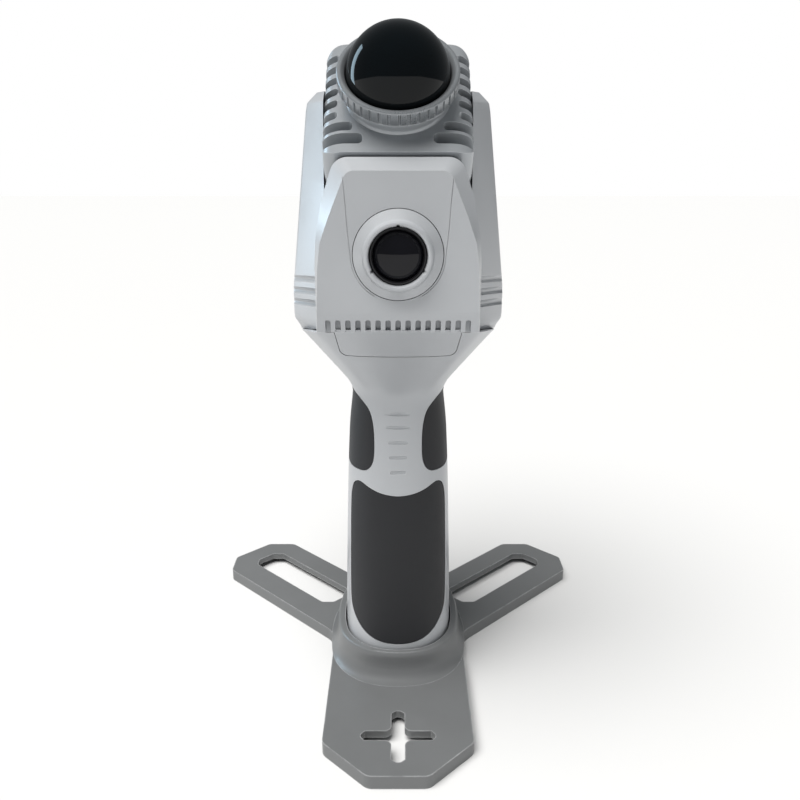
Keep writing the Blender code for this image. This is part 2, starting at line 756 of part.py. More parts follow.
def cover_ring(table, y, shrink, corner=7.5):
    """One upright section of the front cover, clockwise from its top."""
    half = [(x - shrink, z - (shrink if z > 260.0 else 0.0)) for x, z in table]
    radii = [corner] + [0.0] * (len(half) - 1)
    return [(x, y, z) for x, z in filleted(mirrored(half), radii + radii[::-1], 4)]


def make_head():
    housing = head_loft("head_housing", 0.0)
    cavity = head_loft("head_cavity", HEAD_WALL, True)
    cut(cavity, below_parting("cavity_floor", 3.2))
    cut(housing, cavity, below_parting("housing_bottom", GAP), lidar_box("lidar_pocket", GAP, 60.0))
    cut(housing, box("front_window", (-26.0, -50.0, 200.0), (26.0, -30.0, 246.0)))
    cut(housing, cylinder("cable_way", 13.0, (0.0, 0.0, 170.0), (0.0, 0.0, 200.0), sides=20))
    grooves = []
    for z in (203.6, 209.2, 214.8):
        for s in (-1, 1):
            start = Vector((s * 38.8, -33.9, z))
            grooves.append(cylinder("groove", 1.7, start, start + Vector((s * 30.0, 52.0, -6.5)), sides=10))
    cut(housing, *grooves)
    for x, z in rear_screw_places():
        wall = cylinder("rear_boss", 5.0, (x, 30.0, z), (x, HEAD_REAR, z), sides=16)
        fuse(housing, keep(wall, head_loft("boss_limit", 0.6)))
        cut(housing, cylinder("rear_boss_hole", 1.9, (x, 34.0, z), (x, HEAD_REAR + 5.0, z), sides=12))
    part(housing, SATIN_SILVER, smooth=25)

    cover = loft("front_cover", [cover_ring(COVER_BACK, HEAD_FRONT - GAP, 0.0), cover_ring(COVER_BACK, -57.5, 0.0),
                                 cover_ring(COVER_FRONT, COVER_FACE, 0.0, 5.0)])
    hollow = loft("cover_hollow", [cover_ring(COVER_BACK, HEAD_FRONT + 5.0, 2.4), cover_ring(COVER_BACK, -56.5, 2.4),
                                   cover_ring(COVER_FRONT, COVER_FACE + 2.6, 2.6)])
    cut(hollow, below_parting("hollow_floor", 3.0), box("comb_wall", (-60.0, -80.0, 180.0), (60.0, -57.6, 204.0)))
    cut(cover, hollow, below_parting("cover_bottom", GAP), lidar_box("cover_lidar", GAP, 60.0))
    cut(cover, prism("cover_slope", [(-70.0, 205.0), (-64.0, 205.0), (-60.6, 194.0), (-70.0, 194.0)], "X", -60.0, 60.0))
    cut(cover, cylinder("camera_hole", BEZEL_OUTER + GAP, (0.0, -80.0, CAMERA_Z), (0.0, -50.0, CAMERA_Z)))
    slots = []
    for i in range(15):
        x = (i - 7) * 4.35
        slots.append(box("comb", (x - 1.0, -70.0, 195.87), (x + 1.0, -60.3, 201.83)))
    tongue = band("tongue", tongue_outline(0.0), False, 0.0, TONGUE_DEPTH)
    cut(cover, solid_group("comb_slots", slots))
    fuse(cover, tongue)
    part(cover, SATIN_SILVER, smooth=25)


def rear_screw_places():
    return [(x, z) for x, z in ((-26.0, 290.0), (26.0, 290.0), (-36.5, 199.0), (36.5, 199.0))]


def make_camera():
    place = (0.0, COVER_FACE, CAMERA_Z)
    facing = axis_empty("camera_axis", place, 90.0)
    bezel = turned("camera_bezel", [(0.01, BEZEL_PROUD), (BEZEL_LIP - 0.5, BEZEL_PROUD), (BEZEL_LIP, BEZEL_PROUD - 0.4), (BEZEL_OUTER, 0.4),
                                    (BEZEL_OUTER, -4.0), (0.01, -4.0)])
    in_frame(bezel, facing)
    bore = in_frame(turned("bezel_bore", [(0.01, 9.0), (LENS_R + 0.8, 9.0), (LENS_R + 0.8, -9.0), (0.01, -9.0)]), facing)
    part(cut(bezel, bore), SATIN_SILVER, smooth=35)
    barrel = turned("lens_barrel", [(0.01, 3.6), (LENS_R + 0.5, 3.6), (LENS_R + 0.5, -18.0), (0.01, -18.0)])
    in_frame(barrel, facing)
    room = turned("barrel_room", [(0.01, 8.0), (LENS_R - 0.8, 8.0), (LENS_R - 0.8, 0.0), (6.6, -2.0), (6.6, -14.0), (4.4, -14.0),
                                  (4.4, -24.0), (0.01, -24.0)])
    in_frame(room, facing)
    part(cut(barrel, room), BLACK_METAL, smooth=35)
    glass = turned("front_lens", [(0.01, 5.2), (3.0, 5.0), (6.0, 4.4), (9.0, 3.3), (LENS_R - 1.1, 2.2), (LENS_R - 1.1, 0.6),
                                  (8.0, 0.2), (6.8, -1.4), (0.01, -1.4)])
    part(in_frame(glass, facing), GLASS, smooth=35)
    second = turned("rear_lens", [(0.01, -5.0), (3.5, -5.4), (6.2, -6.6), (6.2, -9.0), (0.01, -9.0)], 24)
    part(in_frame(second, facing), GLASS, smooth=35)
    board = box("camera_board", (-14.0, COVER_FACE + 18.4, CAMERA_Z - 14.0), (14.0, COVER_FACE + 20.0, CAMERA_Z + 14.0))
    chip = box("image_sensor", (-3.0, COVER_FACE + 16.6, CAMERA_Z - 2.6), (3.0, COVER_FACE + 18.6, CAMERA_Z + 2.6))
    part(fuse(board, chip), BOARD)


# The LiDAR module


def lidar_outline(half, corner):
    return rounded_box(half, -half, half, corner, 5)


def fin_slots(sign):
    """Slots through the module's side, open to the deck. The lowest two reach further in."""
    slots = []
    for i in range(FIN_COUNT):
        y = FIN_FIRST + i * FIN_PITCH
        width, reach = FIN_SLOTS[i] if i < len(FIN_SLOTS) else FIN_SLOT
        low, high = y - width / 2, y + width / 2
        edges = sorted((sign * reach, sign * (LIDAR_HALF + 5.0)))
        slots.append(box("fin_slot", (edges[0], low, -21.0), (edges[1], high, LIDAR_DECK + 5.0)))
    return [in_frame(slot, LIDAR) for slot in slots]


def make_lidar():
    body = prism("lidar_housing", lidar_outline(LIDAR_HALF, LIDAR_CORNER), "Z", LIDAR_BACK, LIDAR_DECK)
    shoulders = [(22.0, LIDAR_DECK), (27.0, LIDAR_DECK - 1.0), (30.6, LIDAR_DECK - 3.0), (32.6, LIDAR_DECK - 6.0), (33.0, LIDAR_DECK - 9.0),
                 (33.0, LIDAR_BACK - 1.0)]
    in_frame(body, LIDAR)
    keep(body, in_frame(prism("shoulders", mirrored(shoulders), "Y", -40.0, 40.0), LIDAR))
    boss = turned("boss", [(0.01, BOSS_TOP), (BOSS_LIP, BOSS_TOP), (BOSS_LIP, -5.2), (BOSS_R, -6.2), (BOSS_R, -9.5), (BOSS_R + 0.9, -13.0),
                           (0.01, -13.0)])
    fuse(body, in_frame(boss, LIDAR))
    bore = turned("module_bore", [(0.01, 2.0), (MODULE_BORE, 2.0), (MODULE_BORE, -24.0), (20.0, -24.0), (20.0, LIDAR_BACK + 2.4), (0.01, LIDAR_BACK + 2.4)])
    cut(body, in_frame(bore, LIDAR))
    cut(body, *fin_slots(1), *fin_slots(-1))
    cut(body, in_frame(cylinder("cable_hole", 3.4, (0.0, 12.0, LIDAR_BACK - 3.0), (0.0, 12.0, LIDAR_BACK + 8.0), sides=16), LIDAR))
    part(body, SATIN_SILVER, smooth=30)

    ring = turned("lidar_ring", [(0.01, RING_TOP), (RING_R - 0.6, RING_TOP), (RING_R, RING_TOP - 0.6), (RING_R, RING_FOOT), (0.01, RING_FOOT)])
    in_frame(ring, LIDAR)
    bore = DOME_R + GAP
    opening = turned("ring_opening", [(0.01, 8.0), (bore + 5.6, 8.0), (bore, 2.4), (bore, -9.0), (0.01, -9.0)])
    cut(ring, in_frame(opening, LIDAR))
    notches = []
    for i in range(20):
        angle = 2 * math.pi * (i + 0.5) / 20
        spot = Vector((math.cos(angle), math.sin(angle), 0.0)) * (RING_R + 0.1)
        notches.append(in_frame(cylinder("notch", 0.45, spot + Vector((0, 0, -5.0)), spot + Vector((0, 0, 2.9)), sides=4), LIDAR))
    cut(ring, join_cutters("ring_notches", notches))
    part(ring, SATIN_SILVER, smooth=35)

    outer = [(DOME_R * math.cos(a), DOME_R * math.sin(a)) for a in steps_between(0.0, math.pi / 2, 7)]
    inner = [((DOME_R - 1.6) * math.cos(a), (DOME_R - 1.6) * math.sin(a)) for a in steps_between(0.0, math.pi / 2, 7)]
    outer = [(max(r, 0.01), h) for r, h in reversed(outer)] + [(DOME_R, DOME_FOOT), (0.01, DOME_FOOT)]
    inner = [(max(r, 0.01), h) for r, h in reversed(inner)] + [(DOME_R - 1.6, -9.0), (0.01, -9.0)]
    dome = in_frame(turned("lidar_dome", outer), LIDAR)
    cut(dome, in_frame(turned("dome_inside", inner), LIDAR))
    part(dome, DOME_GLASS, smooth=35)


def steps_between(start, end, count):
    return [start + (end - start) * i / (count - 1) for i in range(count)]


def join_cutters(name, objects):
    return solid_group(name, objects)


def make_lidar_inside():
    seal = [(0.01, DOME_FOOT - GAP), (DOME_R - 0.2, DOME_FOOT - GAP), (DOME_R - 0.2, BOSS_TOP + GAP), (0.01, BOSS_TOP + GAP)]
    gasket = in_frame(turned("dome_gasket", seal), LIDAR)
    hole = in_frame(turned("gasket_hole", [(0.01, 0.0), (MODULE_BORE, 0.0), (MODULE_BORE, -12.0), (0.01, -12.0)]), LIDAR)
    part(cut(gasket, hole), SOFT_BLACK, smooth=35)

    rotor = turned("lidar_rotor", [(0.01, 14.0), (11.0, 14.0), (12.0, 13.0), (12.0, -6.0), (19.5, -6.5), (19.5, -9.0), (2.0, -9.0),
                                   (2.0, -21.0), (0.01, -21.0)])
    in_frame(rotor, LIDAR)
    slope = in_frame(prism("mirror_cut", [(-14.0, 1.0), (-14.0, 20.0), (3.0, 20.0)], "X", -15.0, 15.0), LIDAR)
    part(cut(rotor, slope), BLACK_METAL, smooth=35)
    motor = in_frame(turned("lidar_motor", [(0.01, -9.8), (17.0, -9.8), (18.0, -10.8), (18.0, -23.4), (0.01, -23.4)]), LIDAR)
    shaft_hole = in_frame(cylinder("shaft_hole", 2.5, (0.0, 0.0, -30.0), (0.0, 0.0, 0.0), sides=16), LIDAR)
    part(cut(motor, shaft_hole), STEEL, smooth=35)
    optics = in_frame(turned("lidar_optics", [(0.01, -25.0), (12.0, -25.0), (12.0, -36.0), (18.0, -36.5), (18.0, -39.6), (0.01, -39.6)]), LIDAR)
    part(optics, BLACK_METAL, smooth=35)


# Electronics and rear cover


def rear_outline(shrink):
    """The rear face of the head, seen along Y."""
    half = [(39.0, 191.0), (41.0, 196.5), (40.8, 206.5), (31.8, 290.0), (27.6, 295.2)]
    right = [(x - shrink, z + (shrink if z < 192.0 else -shrink if z > 294.0 else 0.0)) for x, z in half]
    return right + [(-x, z) for x, z in reversed(right)]


def make_electronics():
    board = box("main_board", (-32.0, 30.0, 206.0), (32.0, 31.6, 277.0))
    for x, z, w, h in ((-14.0, 236.0, 18.0, 18.0), (8.0, 240.0, 12.0, 12.0), (20.0, 216.0, 14.0, 9.0), (-16.0, 214.0, 9.0, 6.0)):
        fuse(board, box("chip", (x, 31.2, z), (x + w, 33.4, z + h)))
    part(board, BOARD)
    sink = box("heat_sink", (-18.0, 27.2, 228.0), (18.0, 29.7, 266.0))
    for i in range(7):
        x = (i - 3) * 5.6
        fuse(sink, box("fin", (x - 0.7, 19.0, 228.0), (x + 0.7, 28.0, 266.0)))
    part(sink, NICKEL)
    part(box("imu_module", (-30.0, 26.8, 210.0), (-19.0, 29.7, 221.0)), STEEL)

    axis = (0.0, -13.0, 216.0)
    frame = box("fan_frame", (-20.0, -18.0, 196.0), (20.0, -8.0, 236.0))
    cut(frame, cylinder("fan_bore", 18.4, (0.0, -25.0, axis[2]), (0.0, -9.2, axis[2]), sides=32))
    for angle in (0, 120, 240):
        wedge = [(7.6 * math.cos(math.radians(angle + a)), axis[2] + 7.6 * math.sin(math.radians(angle + a))) for a in (12, 60, 108)]
        rim = [(18.4 * math.cos(math.radians(angle + a)), axis[2] + 18.4 * math.sin(math.radians(angle + a))) for a in (115, 90, 60, 30, 5)]
        cut(frame, prism("fan_window", wedge + rim, "Y", -12.0, -5.0))
    part(frame, BLACK_PLASTIC, smooth=35)
    hub = cylinder("hub", 7.4, (0.0, -17.0, axis[2]), (0.0, -9.6, axis[2]), sides=20)
    for i in range(7):
        blade = box("blade", (6.5, -0.6, -3.2), (17.6, 0.6, 3.2))
        turn = Matrix.Rotation(2 * math.pi * i / 7, 4, "Y") @ Matrix.Rotation(math.radians(50), 4, "X")
        blade.matrix_basis = Matrix.Translation(Vector(axis) * MM) @ turn
        fuse(hub, blade)
    fan = solid_group("fan_rotor", [hub])
    part(recentre(fan, axis), BLACK_PLASTIC, smooth=35)


def make_rear():
    rim = prism("rear_gasket", rear_outline(0.6), "Y", *GASKET_Y)
    part(cut(rim, prism("gasket_room", rear_outline(2.4), "Y", 40.0, 60.0)), SOFT_BLACK)

    cover = prism("rear_cover", rear_outline(0.0), "Y", *REAR_COVER_Y)
    y, z = PORT_AXIS
    for s in (-1, 1):
        low, high = sorted((s * 9.0, s * 13.0))
        fuse(cover, cylinder("lug", 1.7, (low, y, z), (high, y, z), sides=16))
        fuse(cover, box("lug_foot", (low + 0.2, 53.0, z - 1.2), (high - 0.2, y, z + 1.1)))
    cut(cover, cylinder("lug_hole", 1.0, (-20.0, y, z), (20.0, y, z), sides=12))
    cut(cover, box("usb_hole", (-5.1, 40.0, 209.1), (5.1, 70.0, 213.7)))
    for x, height in rear_screw_places():
        cut(cover, cylinder("hole", 2.1, (x, 40.0, height), (x, 60.0, height), sides=14))
        cut(cover, cylinder("sink", 3.8, (x, 53.05, height), (x, 60.0, height), sides=22))
    part(cover, SATIN_GREY, smooth=30)

    for i, (x, height) in enumerate(rear_screw_places()):
        screw = cylinder(f"rear_screw_{i + 1}", 3.4, (x, 53.4, height), (x, 54.9, height), 3.0, 16)
        fuse(screw, cylinder("shank", 1.6, (x, 38.0, height), (x, 53.6, height), sides=12))
        part(cut(screw, cylinder("socket", 1.3, (x, 54.0, height), (x, 58.0, height), sides=6)), STEEL)

    socket = box("usb_socket", (-14.0, 41.0, 203.0), (14.0, 42.4, 222.0))
    fuse(socket, box("usb_shell", (-4.7, 42.0, 209.5), (4.7, 54.4, 213.3)))
    part(cut(socket, box("usb_room", (-4.1, 46.0, 210.1), (4.1, 60.0, 212.7))), BOARD)

    flap = box("port_cover", (-PORT_HALF, 54.9, 205.2), (PORT_HALF, 57.2, PORT_Z[1]))
    arm = box("flap_arm", (-8.6, 54.9, z), (8.6, 57.2, 206.0))
    knuckle = cylinder("flap_knuckle", 1.6, (-8.6, y, z), (8.6, y, z), sides=16)
    fuse(flap, arm, knuckle)
    cut(flap, cylinder("flap_hole", 1.0, (-20.0, y, z), (20.0, y, z), sides=12))
    cut(flap, box("grip_notch", (-4.0, 56.0, 216.6), (4.0, 60.0, 222.0)))
    part(recentre(flap, (0.0, y, z)), SOFT_BLACK)
    part(cylinder("port_pin", 0.75, (-12.8, y, z), (12.8, y, z), sides=12), STEEL)


clear_scene()
PARTS = collection("parts")
CUTTERS = collection("cutters")

SATIN_SILVER = material("satin_silver", (0.60, 0.61, 0.63), 0.38, 0.6)
SATIN_GREY = material("satin_grey", (0.36, 0.36, 0.37), 0.42, 0.7)
RUBBER = material("rubber", (0.055, 0.055, 0.058), 0.75, 0.0)
SOFT_BLACK = material("soft_black", (0.03, 0.03, 0.03), 0.8, 0.0)
BLACK_PLASTIC = material("black_plastic", (0.02, 0.02, 0.022), 0.5, 0.0)
BLACK_METAL = material("black_metal", (0.02, 0.02, 0.022), 0.35, 0.8)
STEEL = material("steel", (0.5, 0.5, 0.52), 0.3, 1.0)
NICKEL = material("nickel", (0.62, 0.6, 0.56), 0.3, 1.0)
CELL_WRAP = material("cell_wrap", (0.06, 0.16, 0.4), 0.4, 0.0)
BOARD = material("board", (0.02, 0.12, 0.06), 0.5, 0.0)
GLASS = material("glass", (0.03, 0.03, 0.04), 0.05, 0.0)
DOME_GLASS = material("dome_glass", (0.004, 0.005, 0.006), 0.05, 0.0)
ACCENT = material("accent", (0.75, 0.2, 0.04), 0.5, 0.0)
LIGHT_PIPE = material("light_pipe", (0.5, 0.8, 0.6), 0.3, 0.0)

LIDAR = axis_empty("lidar_axis", LIDAR_CENTRE, LIDAR_TILT)

make_base()
make_handle()
make_grips()
make_controls()
make_battery()
make_door()
make_head()
make_camera()
make_lidar()
make_lidar_inside()
make_electronics()
make_rear()
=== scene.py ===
"""Looks of a handheld laser scanner on its ground base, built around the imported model.

Pieces that show are rebuilt here with finer curves and rounded edges, and stand for their CAD
nodes. The other nodes keep their CAD shape and get a bevel and a material. Sizes are in
millimetres here and become metres when a mesh is made.
"""

import math

import bmesh
import bpy
from mathutils import Matrix, Vector
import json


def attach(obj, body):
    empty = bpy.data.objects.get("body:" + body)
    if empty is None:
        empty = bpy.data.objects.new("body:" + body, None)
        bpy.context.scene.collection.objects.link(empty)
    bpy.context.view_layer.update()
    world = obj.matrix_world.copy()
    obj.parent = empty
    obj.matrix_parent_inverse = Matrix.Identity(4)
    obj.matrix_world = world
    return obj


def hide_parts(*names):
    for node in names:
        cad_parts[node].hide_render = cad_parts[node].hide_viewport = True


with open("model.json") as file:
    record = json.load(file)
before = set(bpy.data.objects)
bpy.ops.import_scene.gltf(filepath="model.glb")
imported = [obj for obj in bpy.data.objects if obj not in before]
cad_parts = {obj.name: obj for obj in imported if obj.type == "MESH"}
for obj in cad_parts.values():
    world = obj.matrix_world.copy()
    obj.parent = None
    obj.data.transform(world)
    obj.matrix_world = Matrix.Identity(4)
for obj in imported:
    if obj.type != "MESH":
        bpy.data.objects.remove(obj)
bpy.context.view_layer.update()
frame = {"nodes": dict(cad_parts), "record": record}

MM = 0.001
GAP = 0.3

# Camera: metres, degrees, and millimetres for the lens
CAMERA_AT = (0.0, -0.4153, 0.2762)
CAMERA_PITCH = 72.6
CAMERA_LENS = 37.305
CAMERA_SHIFT_X = 0.0024

# Base plate
PLATE_TOP = 7.0
PLATE_SKIN = 3.8
PLATE_RIM = 4.5
FRONT_REACH = 114.4
FRONT_HALF = 35.8
FRONT_CHAMFER = 21.8
ARM_REACH = 139.2
ARM_FRONT = 26.8
ARM_BACK = 24.6
ARM_CHAMFER = 12.0
ARM_ANGLE = 45.0
SLOT_HALF = 10.6
SLOT_FROM = 50.0
SLOT_TO = 126.0
CROSS_Y = -88.0
CROSS_REACH = 15.9
CROSS_HALF = 3.2
COLLAR_TOP = 22.0
COLLAR_FLOOR = 10.0
POCKET_HALF = (29.5, 40.8)
PAD_HALF = (41.0, 52.0)
PLATE_HOLE_R = 2.4
COLLAR_RINGS = (
    (37.6, 51.4, 5.6),
    (37.6, 51.0, 7.05),
    (37.3, 48.8, 7.6),
    (36.6, 47.0, 8.8),
    (35.6, 45.8, 10.6),
    (35.0, 45.1, 12.2),
    (34.6, 44.7, 13.4),
    (34.2, 44.4, 16.6),
    (33.9, 44.3, 19.0),
    (33.6, 44.2, 20.2),
    (33.2, 43.9, 21.2),
    (32.8, 43.6, 21.7),
    (32.3, 43.2, 22.0),
)
SCREW_X = 10.0
SCREW_Y = 22.0

# Handle and neck
HANDLE_BOTTOM = 10.3
HANDLE_STATIONS = (
    (HANDLE_BOTTOM, 28.7, 40.0),
    (34.0, 28.6, 39.8),
    (60.0, 28.0, 38.4),
    (93.0, 27.0, 36.2),
    (115.0, 26.3, 34.2),
    (137.0, 25.2, 32.6),
    (158.0, 22.8, 32.6),
)
NECK_FULL = 190.0
NECK_TOP = 202.0
PARTING = ((-80.0, 199.2), (-10.0, 186.8), (90.0, 186.8))
NECK_TOP_HALF = ((30.0, -56.5), (40.0, -40.0), (51.0, -14.0), (51.0, 28.0), (47.0, 40.0), (34.0, 46.0))
OVAL_HALF = ((0.40, -1.0), (0.86, -0.70), (1.0, -0.28), (1.0, 0.28), (0.86, 0.70), (0.40, 1.0))
HANDLE_FLOOR = 16.3
SHELL_WALL = 3.2
GRIP_DEPTH = 1.6
RECESS = GRIP_DEPTH + GAP
TONGUE_DEPTH = 3.0
SPLIT_Y = 5.0
SHELL_HOLE_R = 2.1
SPINE_MARK_R = 1.15
SPINE_MARKS = ((148.9, 5.8), (142.0, 5.6), (134.1, 4.4), (126.5, 3.6), (118.8, 3.2))

# Head
HEAD_STATIONS = (
    (183.0, 47.0), (188.5, 48.3), (192.8, 51.3), (206.5, 51.4), (292.2, 42.2), (297.0, 37.2)
)
HEAD_FRONT = -38.0
HEAD_REAR = 50.0
HEAD_WALL = 2.6
HEAD_SCREWS = ((-26.0, 290.0), (26.0, 290.0), (-36.5, 199.0), (36.5, 199.0))
CHEEK_GROOVES = (203.6, 209.2, 214.8)
GROOVE_R = 1.75
GROOVE_START = (39.0, -33.7)
GROOVE_RUN = (30.0, 52.0, -6.5)

# Front cover and camera
COVER_FACE = -64.0
COVER_SHOULDER = -57.5
COVER_BACK = ((26.5, 269.6), (32.5, 252.0), (35.4, 235.0), (36.0, 224.0), (36.0, 206.0), (36.0, 188.0))
COVER_FRONT = ((21.5, 264.4), (29.0, 246.0), (33.0, 235.0), (34.4, 224.0), (35.0, 206.0), (35.0, 188.0))
COMB_COUNT = 15
COMB_PITCH = 4.35
COMB_HALF = 1.2
COMB_Z = (194.6, 201.9)
COMB_FLOOR = -58.8
CAMERA_Z = 230.0
BEZEL_OUTER = 19.2
LENS_R = 11.6
LINE_R = 20.2
LINE_WIDTH = 0.42

# LiDAR module, in its own frame
LIDAR_CENTRE = (0.0, -40.0, 302.0)
LIDAR_TILT = 45.0
LIDAR_HALF = 32.5
LIDAR_DECK = -10.5
LIDAR_BACK = -42.5
DOME_R = 22.3
DOME_FOOT = -2.4
RING_R = 26.1
RING_TOP = 4.0
RING_FOOT = -2.8
KNURL_COUNT = 40
KNURL_SHARE = 0.24
KNURL_DEPTH = 0.9
BOSS_TOP = -3.9
BOSS_LIP = 24.6
BOSS_R = 22.2
MODULE_BORE = 20.6
FIN_PITCH = 7.0
FIN_FIRST = -24.8
FIN_COUNT = 8
FIN_SLOTS = ((6.0, 15.0), (5.0, 19.4))
FIN_SLOT = (4.3, 26.2)
FIN_END = 0.38  # radius at a slot's inner end, as a share of its width

# Battery door and rear controls
DOOR_HALF = 21.5
DOOR_Z = (33.0, 113.0)
DOOR_AXIS = (40.8, 32.4)
PIN_HOLE_R = 1.2
KNUCKLE_R = 2.2
PANEL_HALF = 10.5
PANEL_Z = (121.0, 153.0)
POWER_Z = 144.5
RECORD_Z = 129.5
LIGHT_Z = 137.0
BUTTON_R = 4.2
BUTTON_FACE_Y = 34.0
BUTTONS = (("power_button", POWER_Z, "accent"), ("record_button", RECORD_Z, "black_plastic"))
LIGHT_HALF = (4.3, 1.3)

ROUNDS = 3  # corner cuts of an oval section
STEPS = 96  # facets of a lathe piece

# Stage: metres, degrees, watts for the strip and watts per square metre for the sun
FLOOR_HALF = 4000.0 * MM
FLOOR_TONE = 0.65
AMBIENT = 0.22
AMBIENT_COLOUR = (0.93, 0.97, 1.0)
SUN_POWER = 4.65
SUN_WIDTH = 50.0
SUN_COLOUR = (1.0, 0.99, 0.97)
SUN_HEADING = (0.32, 0.28, -1.0)
STRIP_POWER = 4.0
STRIP_SIZE = (0.22, 0.8)
STRIP_COLOUR = (0.62, 0.84, 1.0)
STRIP_AT = (-0.85, 0.38, 0.54)
STRIP_AIM = (0.0, -0.04, 0.31)

BODY_OF = {
    node: body for body, nodes in frame["record"]["behaviour"]["bodies"].items() for node in nodes
}


def placed(at, tilt):
    """The frame at a point, tilted about X by an angle in degrees."""
    return Matrix.Translation(Vector(at) * MM) @ Matrix.Rotation(math.radians(tilt), 4, "X")


LIDAR = placed(LIDAR_CENTRE, LIDAR_TILT)
FACING = placed((0.0, COVER_FACE, CAMERA_Z), 90.0)


# Mesh helpers


def object_from(bm, name, place=None):
    bmesh.ops.scale(bm, vec=(MM, MM, MM), verts=bm.verts)
    bmesh.ops.recalc_face_normals(bm, faces=bm.faces)
    mesh = bpy.data.meshes.new(name)
    bm.to_mesh(mesh)
    bm.free()
    if place is not None:
        mesh.transform(place)
    obj = bpy.data.objects.new(name, mesh)
    bpy.context.scene.collection.objects.link(obj)
    return obj


def box(name, low, high, place=None):
    bm = bmesh.new()
    size = Vector(high) - Vector(low)
    middle = (Vector(high) + Vector(low)) / 2
    bmesh.ops.create_cube(
        bm, size=1.0, matrix=Matrix.Translation(middle) @ Matrix.Diagonal((*size, 1.0))
    )
    return object_from(bm, name, place)


def cylinder(name, radius, start, end, top_radius=None, sides=48, place=None):
    bm = bmesh.new()
    start = Vector(start)
    axis = Vector(end) - start
    turn = axis.to_track_quat("Z", "X").to_matrix().to_4x4()
    bmesh.ops.create_cone(
        bm,
        cap_ends=True,
        segments=sides,
        radius1=radius,
        radius2=radius if top_radius is None else top_radius,
        depth=axis.length,
        matrix=Matrix.Translation(start + axis / 2) @ turn,
    )
    return object_from(bm, name, place)


def capsule(name, radius, start, end, sides=24):
    """A cylinder with round ends, as for a milled groove."""
    bm = bmesh.new()
    start, end = Vector(start), Vector(end)
    axis = end - start
    turn = axis.to_track_quat("Z", "X").to_matrix().to_4x4()
    bmesh.ops.create_uvsphere(bm, u_segments=sides, v_segments=sides // 2, radius=radius)
    for vert in bm.verts:
        if vert.co.z > 1e-5:
            vert.co.z += axis.length
        elif vert.co.z > -1e-5:
            vert.co.z += axis.length / 2
    bmesh.ops.transform(bm, matrix=Matrix.Translation(start) @ turn, verts=bm.verts)
    return object_from(bm, name)


def prism(name, outline, along, low, high, place=None):
    """A flat outline pushed along an axis. Its two numbers are the other two axes in XYZ order."""
    index = "XYZ".index(along)
    bm = bmesh.new()
    corners = []
    for point in outline:
        spot = list(point)
        spot.insert(index, low)
        corners.append(bm.verts.new(spot))
    made = bmesh.ops.extrude_face_region(bm, geom=[bm.faces.new(corners)])
    shift = [0.0, 0.0, 0.0]
    shift[index] = high - low
    moved = [item for item in made["geom"] if isinstance(item, bmesh.types.BMVert)]
    bmesh.ops.translate(bm, vec=shift, verts=moved)
    return object_from(bm, name, place)


def loft(name, rings, split=False):
    bm = bmesh.new()
    layers = [[bm.verts.new(point) for point in ring] for ring in rings]
    count = len(layers[0])
    for lower, upper in zip(layers, layers[1:]):
        for i in range(count):
            after = (i + 1) % count
            bm.faces.new((lower[i], lower[after], upper[after], upper[i]))
    bm.faces.new(layers[0])
    bm.faces.new(layers[-1])
    if split:
        bmesh.ops.triangulate(bm, faces=bm.faces)
    return object_from(bm, name)


def revolve(name, profile, place, closed=False, ripple=None, steps=STEPS):
    """A lathe piece about Z. A closed profile makes a ring; ripple is what a radius loses."""
    bm = bmesh.new()
    rows = []
    for radius, height in profile:
        if radius < 1e-4:
            rows.append([bm.verts.new((0.0, 0.0, height))])
            continue
        row = []
        for k in range(steps):
            angle = 2 * math.pi * k / steps
            reach = radius - (ripple(angle, radius, height) if ripple else 0.0)
            row.append(bm.verts.new((reach * math.cos(angle), reach * math.sin(angle), height)))
        rows.append(row)
    following = rows[1:] + (rows[:1] if closed else [])
    for one, two in zip(rows, following):
        for k in range(steps):
            after = (k + 1) % steps
            corners = [
                one[k % len(one)], one[after % len(one)], two[after % len(two)], two[k % len(two)]
            ]
            unique = list(dict.fromkeys(corners))
            if len(unique) > 2:
                bm.faces.new(unique)
    return object_from(bm, name, place)


def joined(name, objects):
    """One object holding several separate solids."""
    bm = bmesh.new()
    for obj in objects:
        bm.from_mesh(obj.data)
        bpy.data.objects.remove(obj)
    bmesh.ops.scale(bm, vec=(1 / MM, 1 / MM, 1 / MM), verts=bm.verts)
    return object_from(bm, name)


def boolean(obj, operation, others):
    """Applies exact Booleans one by one and removes the cutters."""
    for other in others:
        step = obj.modifiers.new("step", "BOOLEAN")
        step.operation = operation
        step.solver = "EXACT"
        step.object = other
        graph = bpy.context.evaluated_depsgraph_get()
        graph.update()
        mesh = bpy.data.meshes.new_from_object(obj.evaluated_get(graph))
        obj.modifiers.clear()
        obj.data = mesh
        bpy.data.objects.remove(other)
    return obj


def cut(obj, *others):
    return boolean(obj, "DIFFERENCE", others)


def keep(obj, *others):
    return boolean(obj, "INTERSECT", others)


def fuse(obj, *others):
    return boolean(obj, "UNION", others)


def steps_between(start, end, count):
    return [start + (end - start) * i / (count - 1) for i in range(count)]


# Outlines


def filleted(points, radii, steps=8):
    """The closed outline with each corner rounded to its radius."""
    made = []
    count = len(points)
    for i, (point, radius) in enumerate(zip(points, radii)):
        here = Vector(point)
        if radius <= 0:
            made.append(tuple(here))
            continue
        before = (Vector(points[i - 1]) - here).normalized()
        after = (Vector(points[(i + 1) % count]) - here).normalized()
        half = before.angle(after) / 2
        reach = radius / math.tan(half)
        centre = here + (before + after).normalized() * (radius / math.sin(half))
        start = here + before * reach - centre
        end = here + after * reach - centre
        turn = start.angle_signed(end)
        for k in range(steps + 1):
            spoke = Matrix.Rotation(-turn * k / steps, 2) @ start
            made.append(tuple(centre + spoke))
    return made


def mirrored(half):
    return list(half) + [(-x, y) for x, y in reversed(half)]


